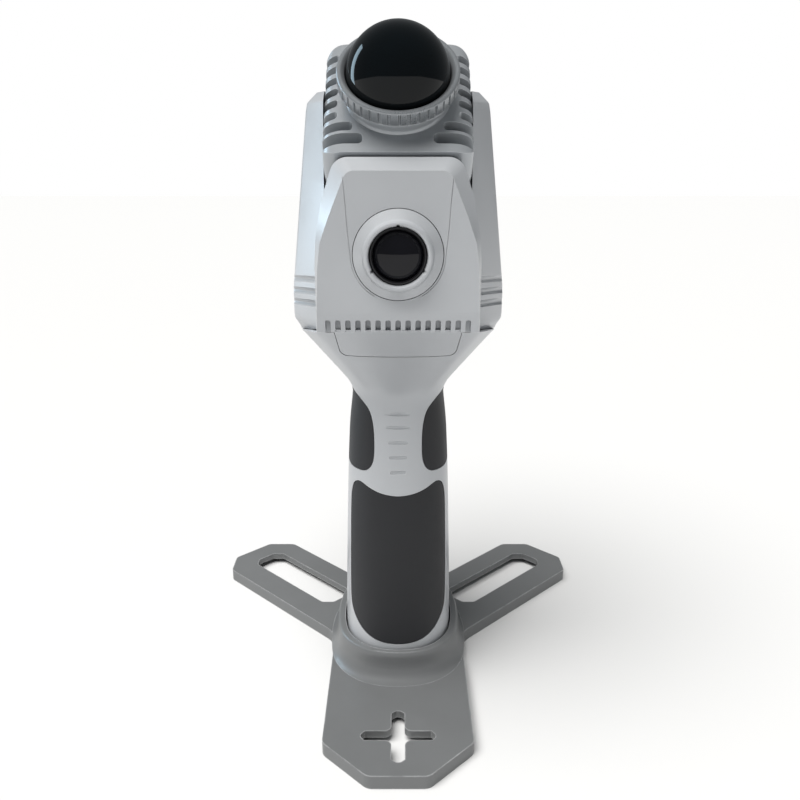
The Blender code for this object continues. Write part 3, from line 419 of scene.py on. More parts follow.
def rounded_box(half_x, low_y, high_y, radius, steps=8):
    corners = [(half_x, low_y), (half_x, high_y), (-half_x, high_y), (-half_x, low_y)]
    return filleted(corners, [radius] * 4, steps)


def corner_cut(points, rounds):
    """Chaikin corner cutting of a closed outline."""
    for _ in range(rounds):
        finer = []
        for i, here in enumerate(points):
            after = points[(i + 1) % len(points)]
            finer.append((0.75 * here[0] + 0.25 * after[0], 0.75 * here[1] + 0.25 * after[1]))
            finer.append((0.25 * here[0] + 0.75 * after[0], 0.25 * here[1] + 0.75 * after[1]))
        points = finer
    return points


def line_cut(points, rounds):
    """Chaikin corner cutting of an open line, whose ends stay."""
    for _ in range(rounds):
        finer = [points[0]]
        for here, after in zip(points, points[1:]):
            finer.append((0.75 * here[0] + 0.25 * after[0], 0.75 * here[1] + 0.25 * after[1]))
            finer.append((0.25 * here[0] + 0.75 * after[0], 0.25 * here[1] + 0.75 * after[1]))
        points = finer + [points[-1]]
    return points


def stroke(points, width):
    """The closed outline of a line drawn with that width."""
    sides = ([], [])
    for i, here in enumerate(points):
        before = Vector(points[max(i - 1, 0)])
        after = Vector(points[min(i + 1, len(points) - 1)])
        along = (after - before).normalized()
        across = Vector((-along.y, along.x)) * width / 2
        sides[0].append(tuple(Vector(here) + across))
        sides[1].append(tuple(Vector(here) - across))
    return sides[0] + sides[1][::-1]


def oval_ring(half_x, half_y, z):
    return [(x * half_x, y * half_y, z) for x, y in corner_cut(mirrored(OVAL_HALF), ROUNDS)]


def handle_half(z, inset):
    """The six control points of the handle's right half at a height."""
    z = max(z, HANDLE_BOTTOM)
    last_z, last_w, last_d = HANDLE_STATIONS[-1]
    if z <= last_z:
        low, high = next(pair for pair in zip(HANDLE_STATIONS, HANDLE_STATIONS[1:]) if z <= pair[1][0])
        share = (z - low[0]) / (high[0] - low[0])
        width = low[1] + share * (high[1] - low[1]) - inset
        depth = low[2] + share * (high[2] - low[2]) - inset
        return [(x * width, y * depth) for x, y in OVAL_HALF]
    share = (z - last_z) / (NECK_FULL - last_z)
    half = []
    for (ox, oy), (tx, ty) in zip(OVAL_HALF, NECK_TOP_HALF):
        top_x = tx * (1 - inset / 49.0)
        top_y = ty - math.copysign(inset, ty)
        half.append((ox * (last_w - inset) * (1 - share) + top_x * share,
                     oy * (last_d - inset) * (1 - share) + top_y * share))
    return half


def handle_ring(z, inset):
    """One section of the handle, its stations blended over a few millimetres."""
    samples = [handle_half(z + step, inset) for step in (-5.0, -3.0, -1.0, 1.0, 3.0, 5.0)]
    half = [
        (sum(s[i][0] for s in samples) / len(samples), sum(s[i][1] for s in samples) / len(samples))
        for i in range(len(OVAL_HALF))
    ]
    return [(x, y, z) for x, y in corner_cut(mirrored(half), ROUNDS)]


def handle_solid(name, inset, low, high):
    count = max(int((high - low) / 3.5), 2)
    return loft(name, [handle_ring(z, inset) for z in steps_between(low, high, count)])


def below_parting(name, lift=0.0):
    line = [(y, z + lift) for y, z in PARTING]
    return prism(name, [(-80.0, -20.0), *line, (90.0, -20.0)], "X", -80.0, 80.0)


def band(name, outline, rear, outer, inner):
    """The layer of the handle between two insets, inside an outline seen along Y."""
    low = max(min(z for _, z in outline) - 6.0, HANDLE_BOTTOM)
    high = min(max(z for _, z in outline) + 6.0, NECK_TOP)
    layer = handle_solid(name, outer, low, high)
    zone = prism(name + "_zone", outline, "Y", 2.0 if rear else -80.0, -2.0 if rear is False else 80.0)
    core = handle_solid(name + "_core", inner, low - 3.0 if low > HANDLE_BOTTOM else low, high + 3.0)
    return cut(keep(layer, zone), core)


def front_grip_outline(grow):
    """Dipped at its top, straight at its sides and round at its bottom."""
    half = [
        (0.0, 24.7 - grow),
        (8.3, 25.3 - grow),
        (14.1 + grow / 2, 27.2 - grow),
        (18.2 + grow / 2, 29.7 - grow),
        (21.2 + grow, 33.1 - grow / 2),
        (23.3 + grow, 36.7),
        (24.5 + grow, 41.0),
        (24.7 + grow, 50.0),
        (24.5 + grow, 70.0),
        (24.0 + grow, 100.6),
        (23.1 + grow, 106.6),
        (22.0 + grow, 109.6 + grow),
        (20.1, 111.4 + grow),
        (18.0, 111.2 + grow),
        (15.3, 109.8 + grow),
        (11.6, 108.3 + grow),
        (7.0, 107.0 + grow),
        (0.0, 106.1 + grow),
    ]
    return corner_cut(half + [(-x, z) for x, z in reversed(half[1:-1])], 2)


def side_grip_outline(sign, grow):
    line = [
        (20.0, 117.6 - grow),
        (16.6, 118.0 - grow),
        (13.7, 120.4 - grow),
        (12.1 - grow, 125.0),
        (11.9 - grow, 135.0),
        (12.4 - grow, 143.0),
        (13.9 - grow / 2, 149.4 + grow),
        (17.2, 153.2 + grow),
        (22.0, 156.8 + grow),
    ]
    points = [(34.0, 116.6 - grow)] + line_cut(line, 3) + [(34.0, 163.0 + grow)]
    return [(sign * x, z) for x, z in points]


def tongue_outline(grow):
    half = [(28.3 + grow, 197.1), (26.0 + grow, 182.5 - grow)]
    points = half + [(-x, z) for x, z in reversed(half)]
    return filleted(points, [0.0, 3.6, 3.6, 0.0], 8)


def panel_outline(grow):
    return rounded_box(PANEL_HALF + grow, PANEL_Z[0] - grow, PANEL_Z[1] + grow, 3.0)


def door_outline(grow):
    return rounded_box(DOOR_HALF + grow, DOOR_Z[0] - grow, DOOR_Z[1] + grow, 2.5)


def rear_grip_outline(grow):
    return rounded_box(DOOR_HALF - 1.8 + grow, 39.0 - grow, 94.0 + grow, 3.0)


def head_half_width(z):
    low, high = next(pair for pair in zip(HEAD_STATIONS, HEAD_STATIONS[1:]) if z <= pair[1][0] + 1e-6)
    share = (z - low[0]) / (high[0] - low[0])
    return low[1] + share * (high[1] - low[1])


def head_ring(z, inset, open_rear):
    lowest, highest = HEAD_STATIONS[0][0], HEAD_STATIONS[-1][0]
    spread = min(1.0, z - lowest, highest - z)
    samples = [head_half_width(z + step * spread) for step in (-1.0, -0.5, 0.0, 0.5, 1.0)]
    width = sum(samples) / len(samples)
    rear = (0.7 * width - inset, HEAD_REAR + 10.0) if open_rear else (
        0.8 * width - inset, HEAD_REAR - inset
    )
    half = [
        (0.71 * width - 0.4 * inset, HEAD_FRONT + inset),
        (width - inset, -12.0),
        (width - inset, 30.0),
        rear,
    ]
    radii = [1.2, 9.0, 9.0, 3.0]
    return [(x, y, z) for x, y in filleted(mirrored(half), radii + radii[::-1], 6)]


def head_loft(name, inset, open_rear=False):
    levels = []
    for (low, _), (high, _) in zip(HEAD_STATIONS, HEAD_STATIONS[1:]):
        count = 6 if high - low < 20.0 else 24
        levels += steps_between(low, high, count + 1)[:-1]
    levels.append(HEAD_STATIONS[-1][0])
    rings = [head_ring(z, inset, open_rear) for z in levels]
    rings[-1] = [(x, y, z - inset) for x, y, z in rings[-1]]
    return loft(name, rings, split=True)


def cover_ring(table, y, shrink, corner=7.5):
    half = [(x - shrink, z - (shrink if z > 260.0 else 0.0)) for x, z in table]
    radii = [corner] + [0.0] * (len(half) - 1)
    top = filleted(mirrored(half), radii + radii[::-1], 8)
    return [(x, y, z) for x, z in top]


def lidar_box(name, grow, top):
    half = LIDAR_HALF + grow
    return box(name, (-half, -half, LIDAR_BACK - grow), (half, half, top), LIDAR)


# Materials


def node(tree, kind, inputs=None, **settings):
    made = tree.nodes.new("ShaderNode" + kind)
    for name, value in settings.items():
        setattr(made, name, value)
    for name, value in (inputs or {}).items():
        socket = made.inputs[name]
        if isinstance(value, bpy.types.NodeSocket):
            tree.links.new(value, socket)
        else:
            socket.default_value = value
    return made


def noise(tree, place, scale, detail=3.0, roughness=0.5):
    made = node(
        tree, "TexNoise", {"Vector": place, "Scale": scale, "Detail": detail, "Roughness": roughness}
    )
    return made.outputs["Fac"]


def mapped(tree, value, low, high, start=0.3, end=0.7):
    made = node(
        tree,
        "MapRange",
        {"Value": value, "From Min": start, "From Max": end, "To Min": low, "To Max": high},
    )
    return made.outputs["Result"]


def shade(colour, factor):
    return (*(min(c * factor, 1.0) for c in colour), 1.0)


def finish(
    name,
    colour,
    roughness,
    metallic=0.0,
    tone=0.05,
    grain=700.0,
    bump=0.12,
    depth=0.02,
    edge_wear_and_highlight_tint=None,
    edge_wear_and_highlight_share=0.35,
    edge=0.5,
    patch=22.0,
    rough_spread=0.05,
    fixed=None,
    speckle=0.0,
):
    """A surface with patchy tone, fine grain, uneven gloss and lighter edges, partly rubbed wear and
    partly a painted highlight.
    """
    look = bpy.data.materials.new(name)
    look.use_nodes = True
    tree = look.node_tree
    shader = tree.nodes["Principled BSDF"]
    place = node(tree, "TexCoord").outputs["Object"]
    broad = noise(tree, place, patch, 4.0, 0.6)
    fine = noise(tree, place, grain, 3.0, 0.65)
    tinted = node(
        tree,
        "MixRGB",
        {
            "Fac": mapped(tree, broad, 0.0, 1.0),
            "Color1": shade(colour, 1.0 - tone),
            "Color2": shade(colour, 1.0 + tone),
        },
    ).outputs["Color"]
    if speckle:
        dots = mapped(tree, noise(tree, place, grain * 1.7, 2.0, 0.8), 0.0, speckle, 0.56, 0.72)
        tinted = node(
            tree, "MixRGB", {"Fac": dots, "Color1": tinted, "Color2": shade(colour, 1.5)}
        ).outputs["Color"]
    # Lighter colour on convex edges: partly rubbed wear, partly a painted highlight along the rims
    if edge_wear_and_highlight_tint:
        rounded = node(tree, "Bevel", {"Radius": edge * MM}, samples=4).outputs["Normal"]
        flat = node(tree, "NewGeometry").outputs["Normal"]
        facing = node(
            tree, "VectorMath", {0: rounded, 1: flat}, operation="DOT_PRODUCT"
        ).outputs["Value"]
        edge_wear_and_highlight_mask = node(
            tree,
            "MapRange",
            {"Value": facing, "From Min": 0.995, "From Max": 0.90, "To Min": 0.0, "To Max": edge_wear_and_highlight_share},
        ).outputs["Result"]
        broken = node(
            tree,
            "Math",
            {0: edge_wear_and_highlight_mask, 1: mapped(tree, noise(tree, place, 160.0), 0.25, 1.0)},
            operation="MULTIPLY",
        ).outputs["Value"]
        tinted = node(
            tree, "MixRGB", {"Fac": broken, "Color1": tinted, "Color2": (*edge_wear_and_highlight_tint, 1.0)}
        ).outputs["Color"]
    tree.links.new(tinted, shader.inputs["Base Color"])
    shader.inputs["Metallic"].default_value = metallic
    gloss = node(
        tree,
        "Math",
        {
            0: mapped(tree, broad, roughness - rough_spread, roughness + rough_spread),
            1: mapped(tree, fine, -0.03, 0.03),
        },
        operation="ADD",
    ).outputs["Value"]
    tree.links.new(gloss, shader.inputs["Roughness"])
    raised = node(
        tree, "Bump", {"Height": fine, "Strength": bump, "Distance": depth * MM}
    ).outputs["Normal"]
    tree.links.new(raised, shader.inputs["Normal"])
    for socket, value in (fixed or {}).items():
        shader.inputs[socket].default_value = value
    look.diffuse_color = (*colour, 1.0)
    return look


# One look for each slot, and two more for the LiDAR module, whose slot is silver
LOOKS = {
    "silver": finish(
        "silver_lacquer",
        (0.465, 0.48, 0.50),
        0.36,
        0.22,
        tone=0.035,
        grain=2400.0,
        bump=0.10,
        edge_wear_and_highlight_tint=(0.72, 0.73, 0.74),
        edge_wear_and_highlight_share=0.5,
        edge=0.45,
        fixed={"Coat Weight": 0.12, "Coat Roughness": 0.25},
        speckle=0.10,
    ),
    # Its lighter edges are mostly a painted rim highlight, with some edge wear
    "grey_metal": finish(
        "blasted_grey",
        (0.175, 0.18, 0.183),
        0.40,
        0.25,
        tone=0.05,
        grain=1900.0,
        bump=0.22,
        depth=0.03,
        edge_wear_and_highlight_tint=(0.62, 0.63, 0.64),
        edge_wear_and_highlight_share=0.8,
        edge=0.9,
        speckle=0.12,
    ),
    "ring_metal": finish(
        "turned_ring",
        (0.27, 0.285, 0.30),
        0.30,
        0.5,
        tone=0.05,
        grain=1900.0,
        bump=0.15,
        edge_wear_and_highlight_tint=(0.62, 0.64, 0.66),
        edge_wear_and_highlight_share=0.7,
        edge=0.5,
    ),
    "module_metal": finish(
        "module_casting",
        (0.40, 0.42, 0.44),
        0.34,
        0.45,
        tone=0.05,
        grain=2000.0,
        bump=0.15,
        edge_wear_and_highlight_tint=(0.70, 0.72, 0.74),
        edge_wear_and_highlight_share=0.6,
        edge=0.6,
    ),
    "rubber": finish(
        "charcoal_rubber",
        (0.024, 0.0245, 0.027),
        0.62,
        0.0,
        tone=0.07,
        grain=1500.0,
        bump=0.35,
        depth=0.05,
        edge_wear_and_highlight_tint=(0.07, 0.07, 0.074),
        edge_wear_and_highlight_share=0.35,
        edge=0.5,
        fixed={"Specular IOR Level": 0.35},
    ),
    "soft_black": finish(
        "black_silicone",
        (0.018, 0.018, 0.019),
        0.66,
        0.0,
        tone=0.08,
        grain=1300.0,
        bump=0.25,
        depth=0.04,
        edge_wear_and_highlight_tint=(0.05, 0.05, 0.05),
        edge_wear_and_highlight_share=0.3,
    ),
    "black_plastic": finish(
        "black_moulding",
        (0.016, 0.016, 0.018),
        0.48,
        0.0,
        tone=0.08,
        grain=1100.0,
        bump=0.3,
        depth=0.05,
        edge_wear_and_highlight_tint=(0.06, 0.06, 0.065),
        edge_wear_and_highlight_share=0.35,
    ),
    "black_metal": finish(
        "black_anodised",
        (0.012, 0.012, 0.014),
        0.30,
        0.4,
        tone=0.08,
        grain=2000.0,
        bump=0.1,
        edge_wear_and_highlight_tint=(0.12, 0.12, 0.13),
        edge_wear_and_highlight_share=0.4,
        edge=0.25,
    ),
    "steel": finish(
        "plain_steel",
        (0.46, 0.46, 0.47),
        0.28,
        1.0,
        tone=0.06,
        grain=900.0,
        bump=0.12,
        edge_wear_and_highlight_tint=(0.7, 0.7, 0.7),
        edge_wear_and_highlight_share=0.3,
        edge=0.2,
    ),
    "nickel": finish(
        "plated_strip",
        (0.60, 0.58, 0.54),
        0.30,
        1.0,
        tone=0.05,
        grain=800.0,
        bump=0.12,
        edge_wear_and_highlight_tint=(0.75, 0.73, 0.7),
        edge_wear_and_highlight_share=0.3,
        edge=0.2,
    ),
    "cell_wrap": finish(
        "shrink_wrap",
        (0.04, 0.12, 0.34),
        0.30,
        0.0,
        tone=0.08,
        grain=500.0,
        bump=0.15,
        edge_wear_and_highlight_tint=(0.1, 0.2, 0.4),
        edge_wear_and_highlight_share=0.25,
    ),
    "board": finish(
        "solder_mask",
        (0.015, 0.10, 0.045),
        0.40,
        0.0,
        tone=0.12,
        grain=650.0,
        bump=0.25,
        patch=160.0,
        edge_wear_and_highlight_tint=(0.35, 0.30, 0.14),
        edge_wear_and_highlight_share=0.4,
        edge=0.2,
    ),
    "lens_glass": finish(
        "coated_glass",
        (0.004, 0.004, 0.006),
        0.05,
        0.0,
        tone=0.3,
        grain=300.0,
        bump=0.01,
        patch=60.0,
        rough_spread=0.01,
        fixed={"Specular IOR Level": 0.3},
    ),
    "dome_window": finish(
        "infrared_window",
        (0.0010, 0.0022, 0.0030),
        0.05,
        0.0,
        tone=0.3,
        grain=120.0,
        bump=0.004,
        patch=25.0,
        rough_spread=0.01,
        fixed={"Specular IOR Level": 0.22},
    ),
    "accent": finish(
        "orange_cap",
        (0.60, 0.13, 0.02),
        0.45,
        0.0,
        tone=0.06,
        grain=1200.0,
        bump=0.2,
        edge_wear_and_highlight_tint=(0.75, 0.3, 0.1),
        edge_wear_and_highlight_share=0.3,
    ),
    "light_pipe": finish(
        "light_pipe",
        (0.45, 0.72, 0.55),
        0.22,
        0.0,
        tone=0.05,
        grain=900.0,
        bump=0.05,
        edge_wear_and_highlight_tint=(0.7, 0.9, 0.8),
        edge_wear_and_highlight_share=0.2,
        fixed={"Subsurface Weight": 0.2},
    ),
}


def shown(obj, node_name, slot, smooth=35.0, bevel=0.3, segments=3, limit=38.0, look=None):
    """Finishes a rebuilt piece: round edges, its material, and the CAD node that it stands for."""
    obj.name = node_name + "_fine"
    mesh = obj.data
    mesh.materials.clear()
    mesh.materials.append(LOOKS[look or slot])
    tidy = bmesh.new()
    tidy.from_mesh(mesh)
    bmesh.ops.remove_doubles(tidy, verts=tidy.verts, dist=0.00001)
    bmesh.ops.dissolve_degenerate(tidy, edges=tidy.edges, dist=0.00001)
    tidy.to_mesh(mesh)
    tidy.free()
    for face in mesh.polygons:
        face.material_index = 0
    mesh.shade_smooth()
    mesh.set_sharp_from_angle(angle=math.radians(smooth))
    if bevel:
        rounded_edges(obj, bevel, segments, limit)
    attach(obj, BODY_OF[node_name])
    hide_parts(node_name)
    return obj


def rounded_edges(obj, width, segments, limit):
    step = obj.modifiers.new("round_edges", "BEVEL")
    step.width = width * MM
    step.segments = segments
    step.limit_method = "ANGLE"
    step.angle_limit = math.radians(limit)
    step.use_clamp_overlap = True
    step.miter_outer = "MITER_ARC"
    step.harden_normals = True
    return step


# The base


def base_outline(inset=0.0):
    turn = math.radians(ARM_ANGLE)
    along = Vector((math.sin(turn), math.cos(turn)))
    side = Vector((math.cos(turn), -math.sin(turn)))
    ahead, behind = ARM_FRONT - inset, ARM_BACK - inset
    reach = ARM_REACH - inset
    shoulder = reach - ARM_CHAMFER + 0.4 * inset
    front_half, front_reach = FRONT_HALF - inset, FRONT_REACH - inset
    chamfer = FRONT_CHAMFER - 0.6 * inset
    meeting = (front_half - ahead * side.x) / along.x
    points = [
        ((front_half - chamfer, -front_reach), 6.0),
        ((front_half, chamfer - front_reach), 6.0),
        (ahead * side + meeting * along, 18.0),
        (ahead * side + shoulder * along, 5.0),
        ((ahead - ARM_CHAMFER) * side + reach * along, 5.0),
        ((ARM_CHAMFER - behind) * side + reach * along, 5.0),
        (-behind * side + shoulder * along, 5.0),
        (-behind * side + 60.0 * along, 0.0),
        ((15.0, 49.5), 0.0),
    ]
    half = [tuple(point) for point, _ in points]
    radii = [radius for _, radius in points]
    return filleted(mirrored(half), radii + radii[::-1], 10)


def arm_slot(sign):
    turn = math.radians(ARM_ANGLE)
    along = Vector((sign * math.sin(turn), math.cos(turn)))
    side = Vector((math.cos(turn), -sign * math.sin(turn)))
    nose = 5.0
    outline = [
        (SLOT_FROM + nose, -SLOT_HALF),
        (SLOT_TO - nose, -SLOT_HALF),
        (SLOT_TO, nose - SLOT_HALF),
        (SLOT_TO, SLOT_HALF - nose),
        (SLOT_TO - nose, SLOT_HALF),
        (SLOT_FROM + nose, SLOT_HALF),
        (SLOT_FROM, SLOT_HALF - nose),
        (SLOT_FROM, nose - SLOT_HALF),
    ]
    points = [tuple(along * a + side * b) for a, b in filleted(outline, [3.0] * 8, 5)]
    return prism("slot_cut", points, "Z", -5.0, PLATE_TOP + 5.0)


def cross_cut():
    quarter = filleted(
        [(CROSS_HALF, -CROSS_REACH), (CROSS_HALF, -CROSS_HALF), (CROSS_REACH, -CROSS_HALF)],
        [0.0, 3.5, 0.0],
        8,
    )
    tip = filleted(
        [(CROSS_REACH, -CROSS_HALF), (CROSS_REACH + 2.6, 0.0), (CROSS_REACH, CROSS_HALF)],
        [0.0, 2.4, 0.0],
        6,
    )
    arm = quarter + tip[1:-1]
    points = []
    for k in range(4):
        turn = Matrix.Rotation(math.radians(90 * k), 2)
        points += [tuple(turn @ Vector(p) + Vector((0.0, CROSS_Y))) for p in arm]
    return prism("cross_cut", points, "Z", -5.0, PLATE_TOP + 5.0)


def build_base():
    plate = prism("base", base_outline(), "Z", 0.0, PLATE_TOP)
    collar = loft("collar", [oval_ring(*ring) for ring in COLLAR_RINGS])
    pocket = loft("pocket", [oval_ring(*POCKET_HALF, z) for z in (COLLAR_FLOOR, COLLAR_TOP + 5.0)])
    under = prism("under", base_outline(PLATE_RIM), "Z", -4.0, PLATE_TOP - PLATE_SKIN)
    cut(under, loft("pad", [oval_ring(*PAD_HALF, z) for z in (-5.0, PLATE_TOP)]))
    fuse(plate, collar)
    cut(plate, under, pocket, arm_slot(1), arm_slot(-1), cross_cut())
    for x in (-SCREW_X, SCREW_X):
        for y in (-SCREW_Y, SCREW_Y):
            cut(plate, cylinder("hole", PLATE_HOLE_R, (x, y, -2.0), (x, y, 14.0), sides=32),
                cylinder("sink", 6.0, (x, y, -1.0), (x, y, 3.8), 1.6, 40))
    shown(plate, "base_plate", "grey_metal", bevel=0.7, segments=4, limit=50.0)


# The handle


def hollow_handle(name):
    shell = handle_solid(name, 0.0, HANDLE_BOTTOM, NECK_TOP)
    bore = handle_solid(name + "_bore", SHELL_WALL, HANDLE_FLOOR, NECK_TOP + 5.0)
    return cut(keep(shell, below_parting("top")), bore)


def spine_marks():
    """Shallow scoops across the front of the neck, narrower towards the grip."""
    made = []
    for z, half in SPINE_MARKS:
        front = min(y for _, y, _ in handle_ring(z, 0.0))
        made.append(capsule("mark", SPINE_MARK_R, (-half, front - 0.55, z), (half, front - 0.55, z)))
    return joined("marks", made)


def light_window():
    half_x, half_z = LIGHT_HALF
    return box("light", (-half_x, 20.0, LIGHT_Z - half_z), (half_x, 50.0, LIGHT_Z + half_z))


def build_handle():
    front = hollow_handle("front")
    keep(front, box("front_half", (-80.0, -90.0, 0.0), (80.0, SPLIT_Y - GAP / 2, 220.0)))
    cut(front, band("recess", front_grip_outline(GAP), False, -2.0, RECESS))
    cut(front, prism("notch", tongue_outline(GAP), "Y", -80.0, -30.0))
    for sign in (-1, 1):
        cut(front, band("recess", side_grip_outline(sign, GAP), None, -2.0, RECESS))
    for x in (-SCREW_X, SCREW_X):
        cut(front, cylinder("hole", SHELL_HOLE_R, (x, -SCREW_Y, 0.0), (x, -SCREW_Y, 15.8), sides=24))
    cut(front, spine_marks())
    shown(front, "handle_front_shell", "silver", bevel=0.3)

    rear = hollow_handle("rear")
    keep(rear, box("rear_half", (-80.0, SPLIT_Y + GAP / 2, 0.0), (80.0, 90.0, 220.0)))
    cut(rear, prism("opening", door_outline(GAP), "Y", SPLIT_Y - 2.0, 60.0))
    y, z = DOOR_AXIS
    for s in (-1, 1):
        low, high = sorted((s * 7.9, s * 14.0))
        fuse(rear, box("ear", (low, 37.4, 27.5), (high, y, z)))
        fuse(rear, cylinder("barrel", KNUCKLE_R, (low, y, z), (high, y, z), sides=32))
        cut(rear, band("recess", side_grip_outline(s, GAP), None, -2.0, RECESS))
    cut(rear, band("recess", panel_outline(GAP), True, -2.0, RECESS))
    cut(rear, cylinder("pin", PIN_HOLE_R, (-20.0, y, z), (20.0, y, z), sides=20))
    cut(rear, cylinder("room", KNUCKLE_R + 0.4, (-7.9, y, z), (7.9, y, z), sides=32))
    for place in (POWER_Z, RECORD_Z):
        cut(rear, cylinder("hole", BUTTON_R + GAP, (0.0, 20.0, place), (0.0, 50.0, place), sides=40))
    cut(rear, light_window())
    for x in (-SCREW_X, SCREW_X):
        cut(rear, cylinder("hole", SHELL_HOLE_R, (x, SCREW_Y, 0.0), (x, SCREW_Y, 15.8), sides=24))
    for x in (-6.5, 6.5):
        for height in (124.0, 150.0):
            fuse(rear, cylinder("post", 1.6, (x, 21.4, height), (x, 29.5, height), sides=16))
    shown(rear, "handle_rear_shell", "silver", bevel=0.3)


def build_grips():
    shown(
        band("grip", front_grip_outline(0.0), False, 0.0, GRIP_DEPTH),
        "front_grip",
        "rubber",
        bevel=0.55,
        segments=4,
    )
    for sign, side in ((-1, "left"), (1, "right")):
        piece = band("side", side_grip_outline(sign, 0.0), None, 0.0, GRIP_DEPTH)
        shown(piece, f"side_grip_{side}", "rubber", bevel=0.5, segments=4)
    shown(
        band("rear", rear_grip_outline(0.0), True, 0.0, GRIP_DEPTH),
        "rear_grip",
        "rubber",
        bevel=0.5,
        segments=4,
    )
    panel = band("panel", panel_outline(0.0), True, 0.0, GRIP_DEPTH)
    for place in (POWER_Z, RECORD_Z):
        cut(panel, cylinder("hole", BUTTON_R + GAP, (0.0, 20.0, place), (0.0, 50.0, place), sides=40))
    cut(panel, light_window())
    shown(panel, "control_panel", "black_plastic", bevel=0.3)


def build_buttons():
    """Caps with a dished face."""
    for name, place, slot in BUTTONS:
        profile = [
            (0.0, -0.55), (1.2, -0.5), (2.3, -0.28), (3.1, -0.04), (3.6, 0.0), (3.95, -0.12),
            (BUTTON_R, -0.5), (BUTTON_R, -6.0), (BUTTON_R + 1.0, -6.0), (BUTTON_R + 1.0, -7.4),
            (1.3, -7.4), (1.3, -8.8), (0.0, -8.8),
        ]
        turn = placed((0.0, BUTTON_FACE_Y, place), -90.0)
        shown(revolve(name, profile, turn, steps=48), name, slot, bevel=0.0)


def build_door():
    y, z = DOOR_AXIS
    door = band("door", door_outline(0.0), True, 0.0, SHELL_WALL)
    fuse(
        door,
        box("block", (-7.5, 27.2, 95.0), (7.5, 33.0, 112.6)),
        box("arm", (-7.6, 37.2, 33.0), (7.6, y, 36.5)),
        cylinder("knuckle", KNUCKLE_R, (-7.6, y, z), (7.6, y, z), sides=32),
    )
    cut(door, band("recess", rear_grip_outline(GAP), True, -2.0, RECESS))
    cut(
        door,
        box("pocket", (-5.3, 28.3, 93.6), (5.3, 31.3, 118.0)),
        box("window", (-4.3, 31.0, 96.7), (4.3, 45.0, 106.3)),
    )
    for s in (-1, 1):
        low, high = sorted((s * 7.6, s * 14.3))
        cut(door, cylinder("room", KNUCKLE_R + 0.4, (low, y, z), (high, y, z), sides=32))
    cut(door, cylinder("pin", PIN_HOLE_R, (-20.0, y, z), (20.0, y, z), sides=20))
    shown(door, "battery_door", "black_plastic", bevel=0.3)


# The head


def build_head():
    housing = head_loft("housing", 0.0)
    cavity = cut(head_loft("cavity", HEAD_WALL, True), below_parting("floor", 3.2))
    cut(housing, cavity, below_parting("bottom", GAP), lidar_box("pocket", GAP, 60.0))
    cut(housing, box("window", (-26.0, -50.0, 200.0), (26.0, -30.0, 246.0)))
    cut(housing, cylinder("way", 13.0, (0.0, 0.0, 170.0), (0.0, 0.0, 200.0), sides=40))
    grooves = []
    for z in CHEEK_GROOVES:
        for s in (-1, 1):
            start = Vector((s * GROOVE_START[0], GROOVE_START[1], z))
            run = Vector((s * GROOVE_RUN[0], GROOVE_RUN[1], GROOVE_RUN[2]))
            grooves.append(capsule("groove", GROOVE_R, start, start + run))
    cut(housing, joined("grooves", grooves))
    for x, z in HEAD_SCREWS:
        wall = cylinder("boss", 5.0, (x, 30.0, z), (x, HEAD_REAR, z), sides=24)
        fuse(housing, keep(wall, head_loft("limit", 0.6)))
        cut(housing, cylinder("hole", 1.9, (x, 34.0, z), (x, HEAD_REAR + 5.0, z), sides=20))
    shown(housing, "head_housing", "silver", smooth=28.0, bevel=0.4, limit=30.0)


def cover_lines():
    """The thin line that runs down both sides of the face and round the camera."""
    arc = []
    for degrees in range(0, -66, -6):
        angle = math.radians(degrees)
        arc.append((LINE_R * math.cos(angle), CAMERA_Z + LINE_R * math.sin(angle)))
    right = line_cut([(23.0, 262.6), (22.04, 252.9), (21.3, 240.5), (20.5, 233.0)], 2) + arc
    made = []
    for s in (-1, 1):
        outline = stroke([(s * x, z) for x, z in right], LINE_WIDTH)
        made.append(prism("line", outline, "Y", COVER_FACE - 2.0, COVER_FACE + 0.5))
    return joined("lines", made)


def build_cover():
    shape = [cover_ring(COVER_BACK, y, 0.0) for y in (HEAD_FRONT - GAP, COVER_SHOULDER)]
    shape.append(cover_ring(COVER_FRONT, COVER_FACE, 0.0, 5.0))
    cover = loft("cover", shape)
    hollow = loft(
        "hollow",
        [
            cover_ring(COVER_BACK, HEAD_FRONT + 5.0, 2.4),
            cover_ring(COVER_BACK, -56.5, 2.4),
            cover_ring(COVER_FRONT, COVER_FACE + 2.6, 2.6),
        ],
    )
    cut(
        hollow,
        below_parting("floor", 3.0),
        box("comb_wall", (-60.0, -80.0, 180.0), (60.0, -57.6, 204.0)),
    )
    cut(cover, hollow, below_parting("bottom", GAP), lidar_box("module", GAP, 60.0))
    cut(
        cover,
        prism(
            "slope", [(-70.0, 205.0), (-64.0, 205.0), (-60.6, 194.0), (-70.0, 194.0)], "X", -60.0, 60.0
        ),
    )
    cut(
        cover,
        cylinder(
            "camera", BEZEL_OUTER + GAP, (0.0, -80.0, CAMERA_Z), (0.0, -50.0, CAMERA_Z), sides=STEPS
        ),
    )
    teeth = []
    outline = rounded_box(COMB_HALF, *COMB_Z, 1.0, 6)
    for i in range(COMB_COUNT):
        x = (i - COMB_COUNT // 2) * COMB_PITCH
        teeth.append(prism("tooth", [(x + a, b) for a, b in outline], "Y", -70.0, COMB_FLOOR))
    cut(cover, joined("teeth", teeth), cover_lines())
    fuse(cover, band("tongue", tongue_outline(0.0), False, 0.0, TONGUE_DEPTH))
    shown(cover, "front_cover", "silver", smooth=25.0, bevel=0.3, segments=3, limit=24.0)


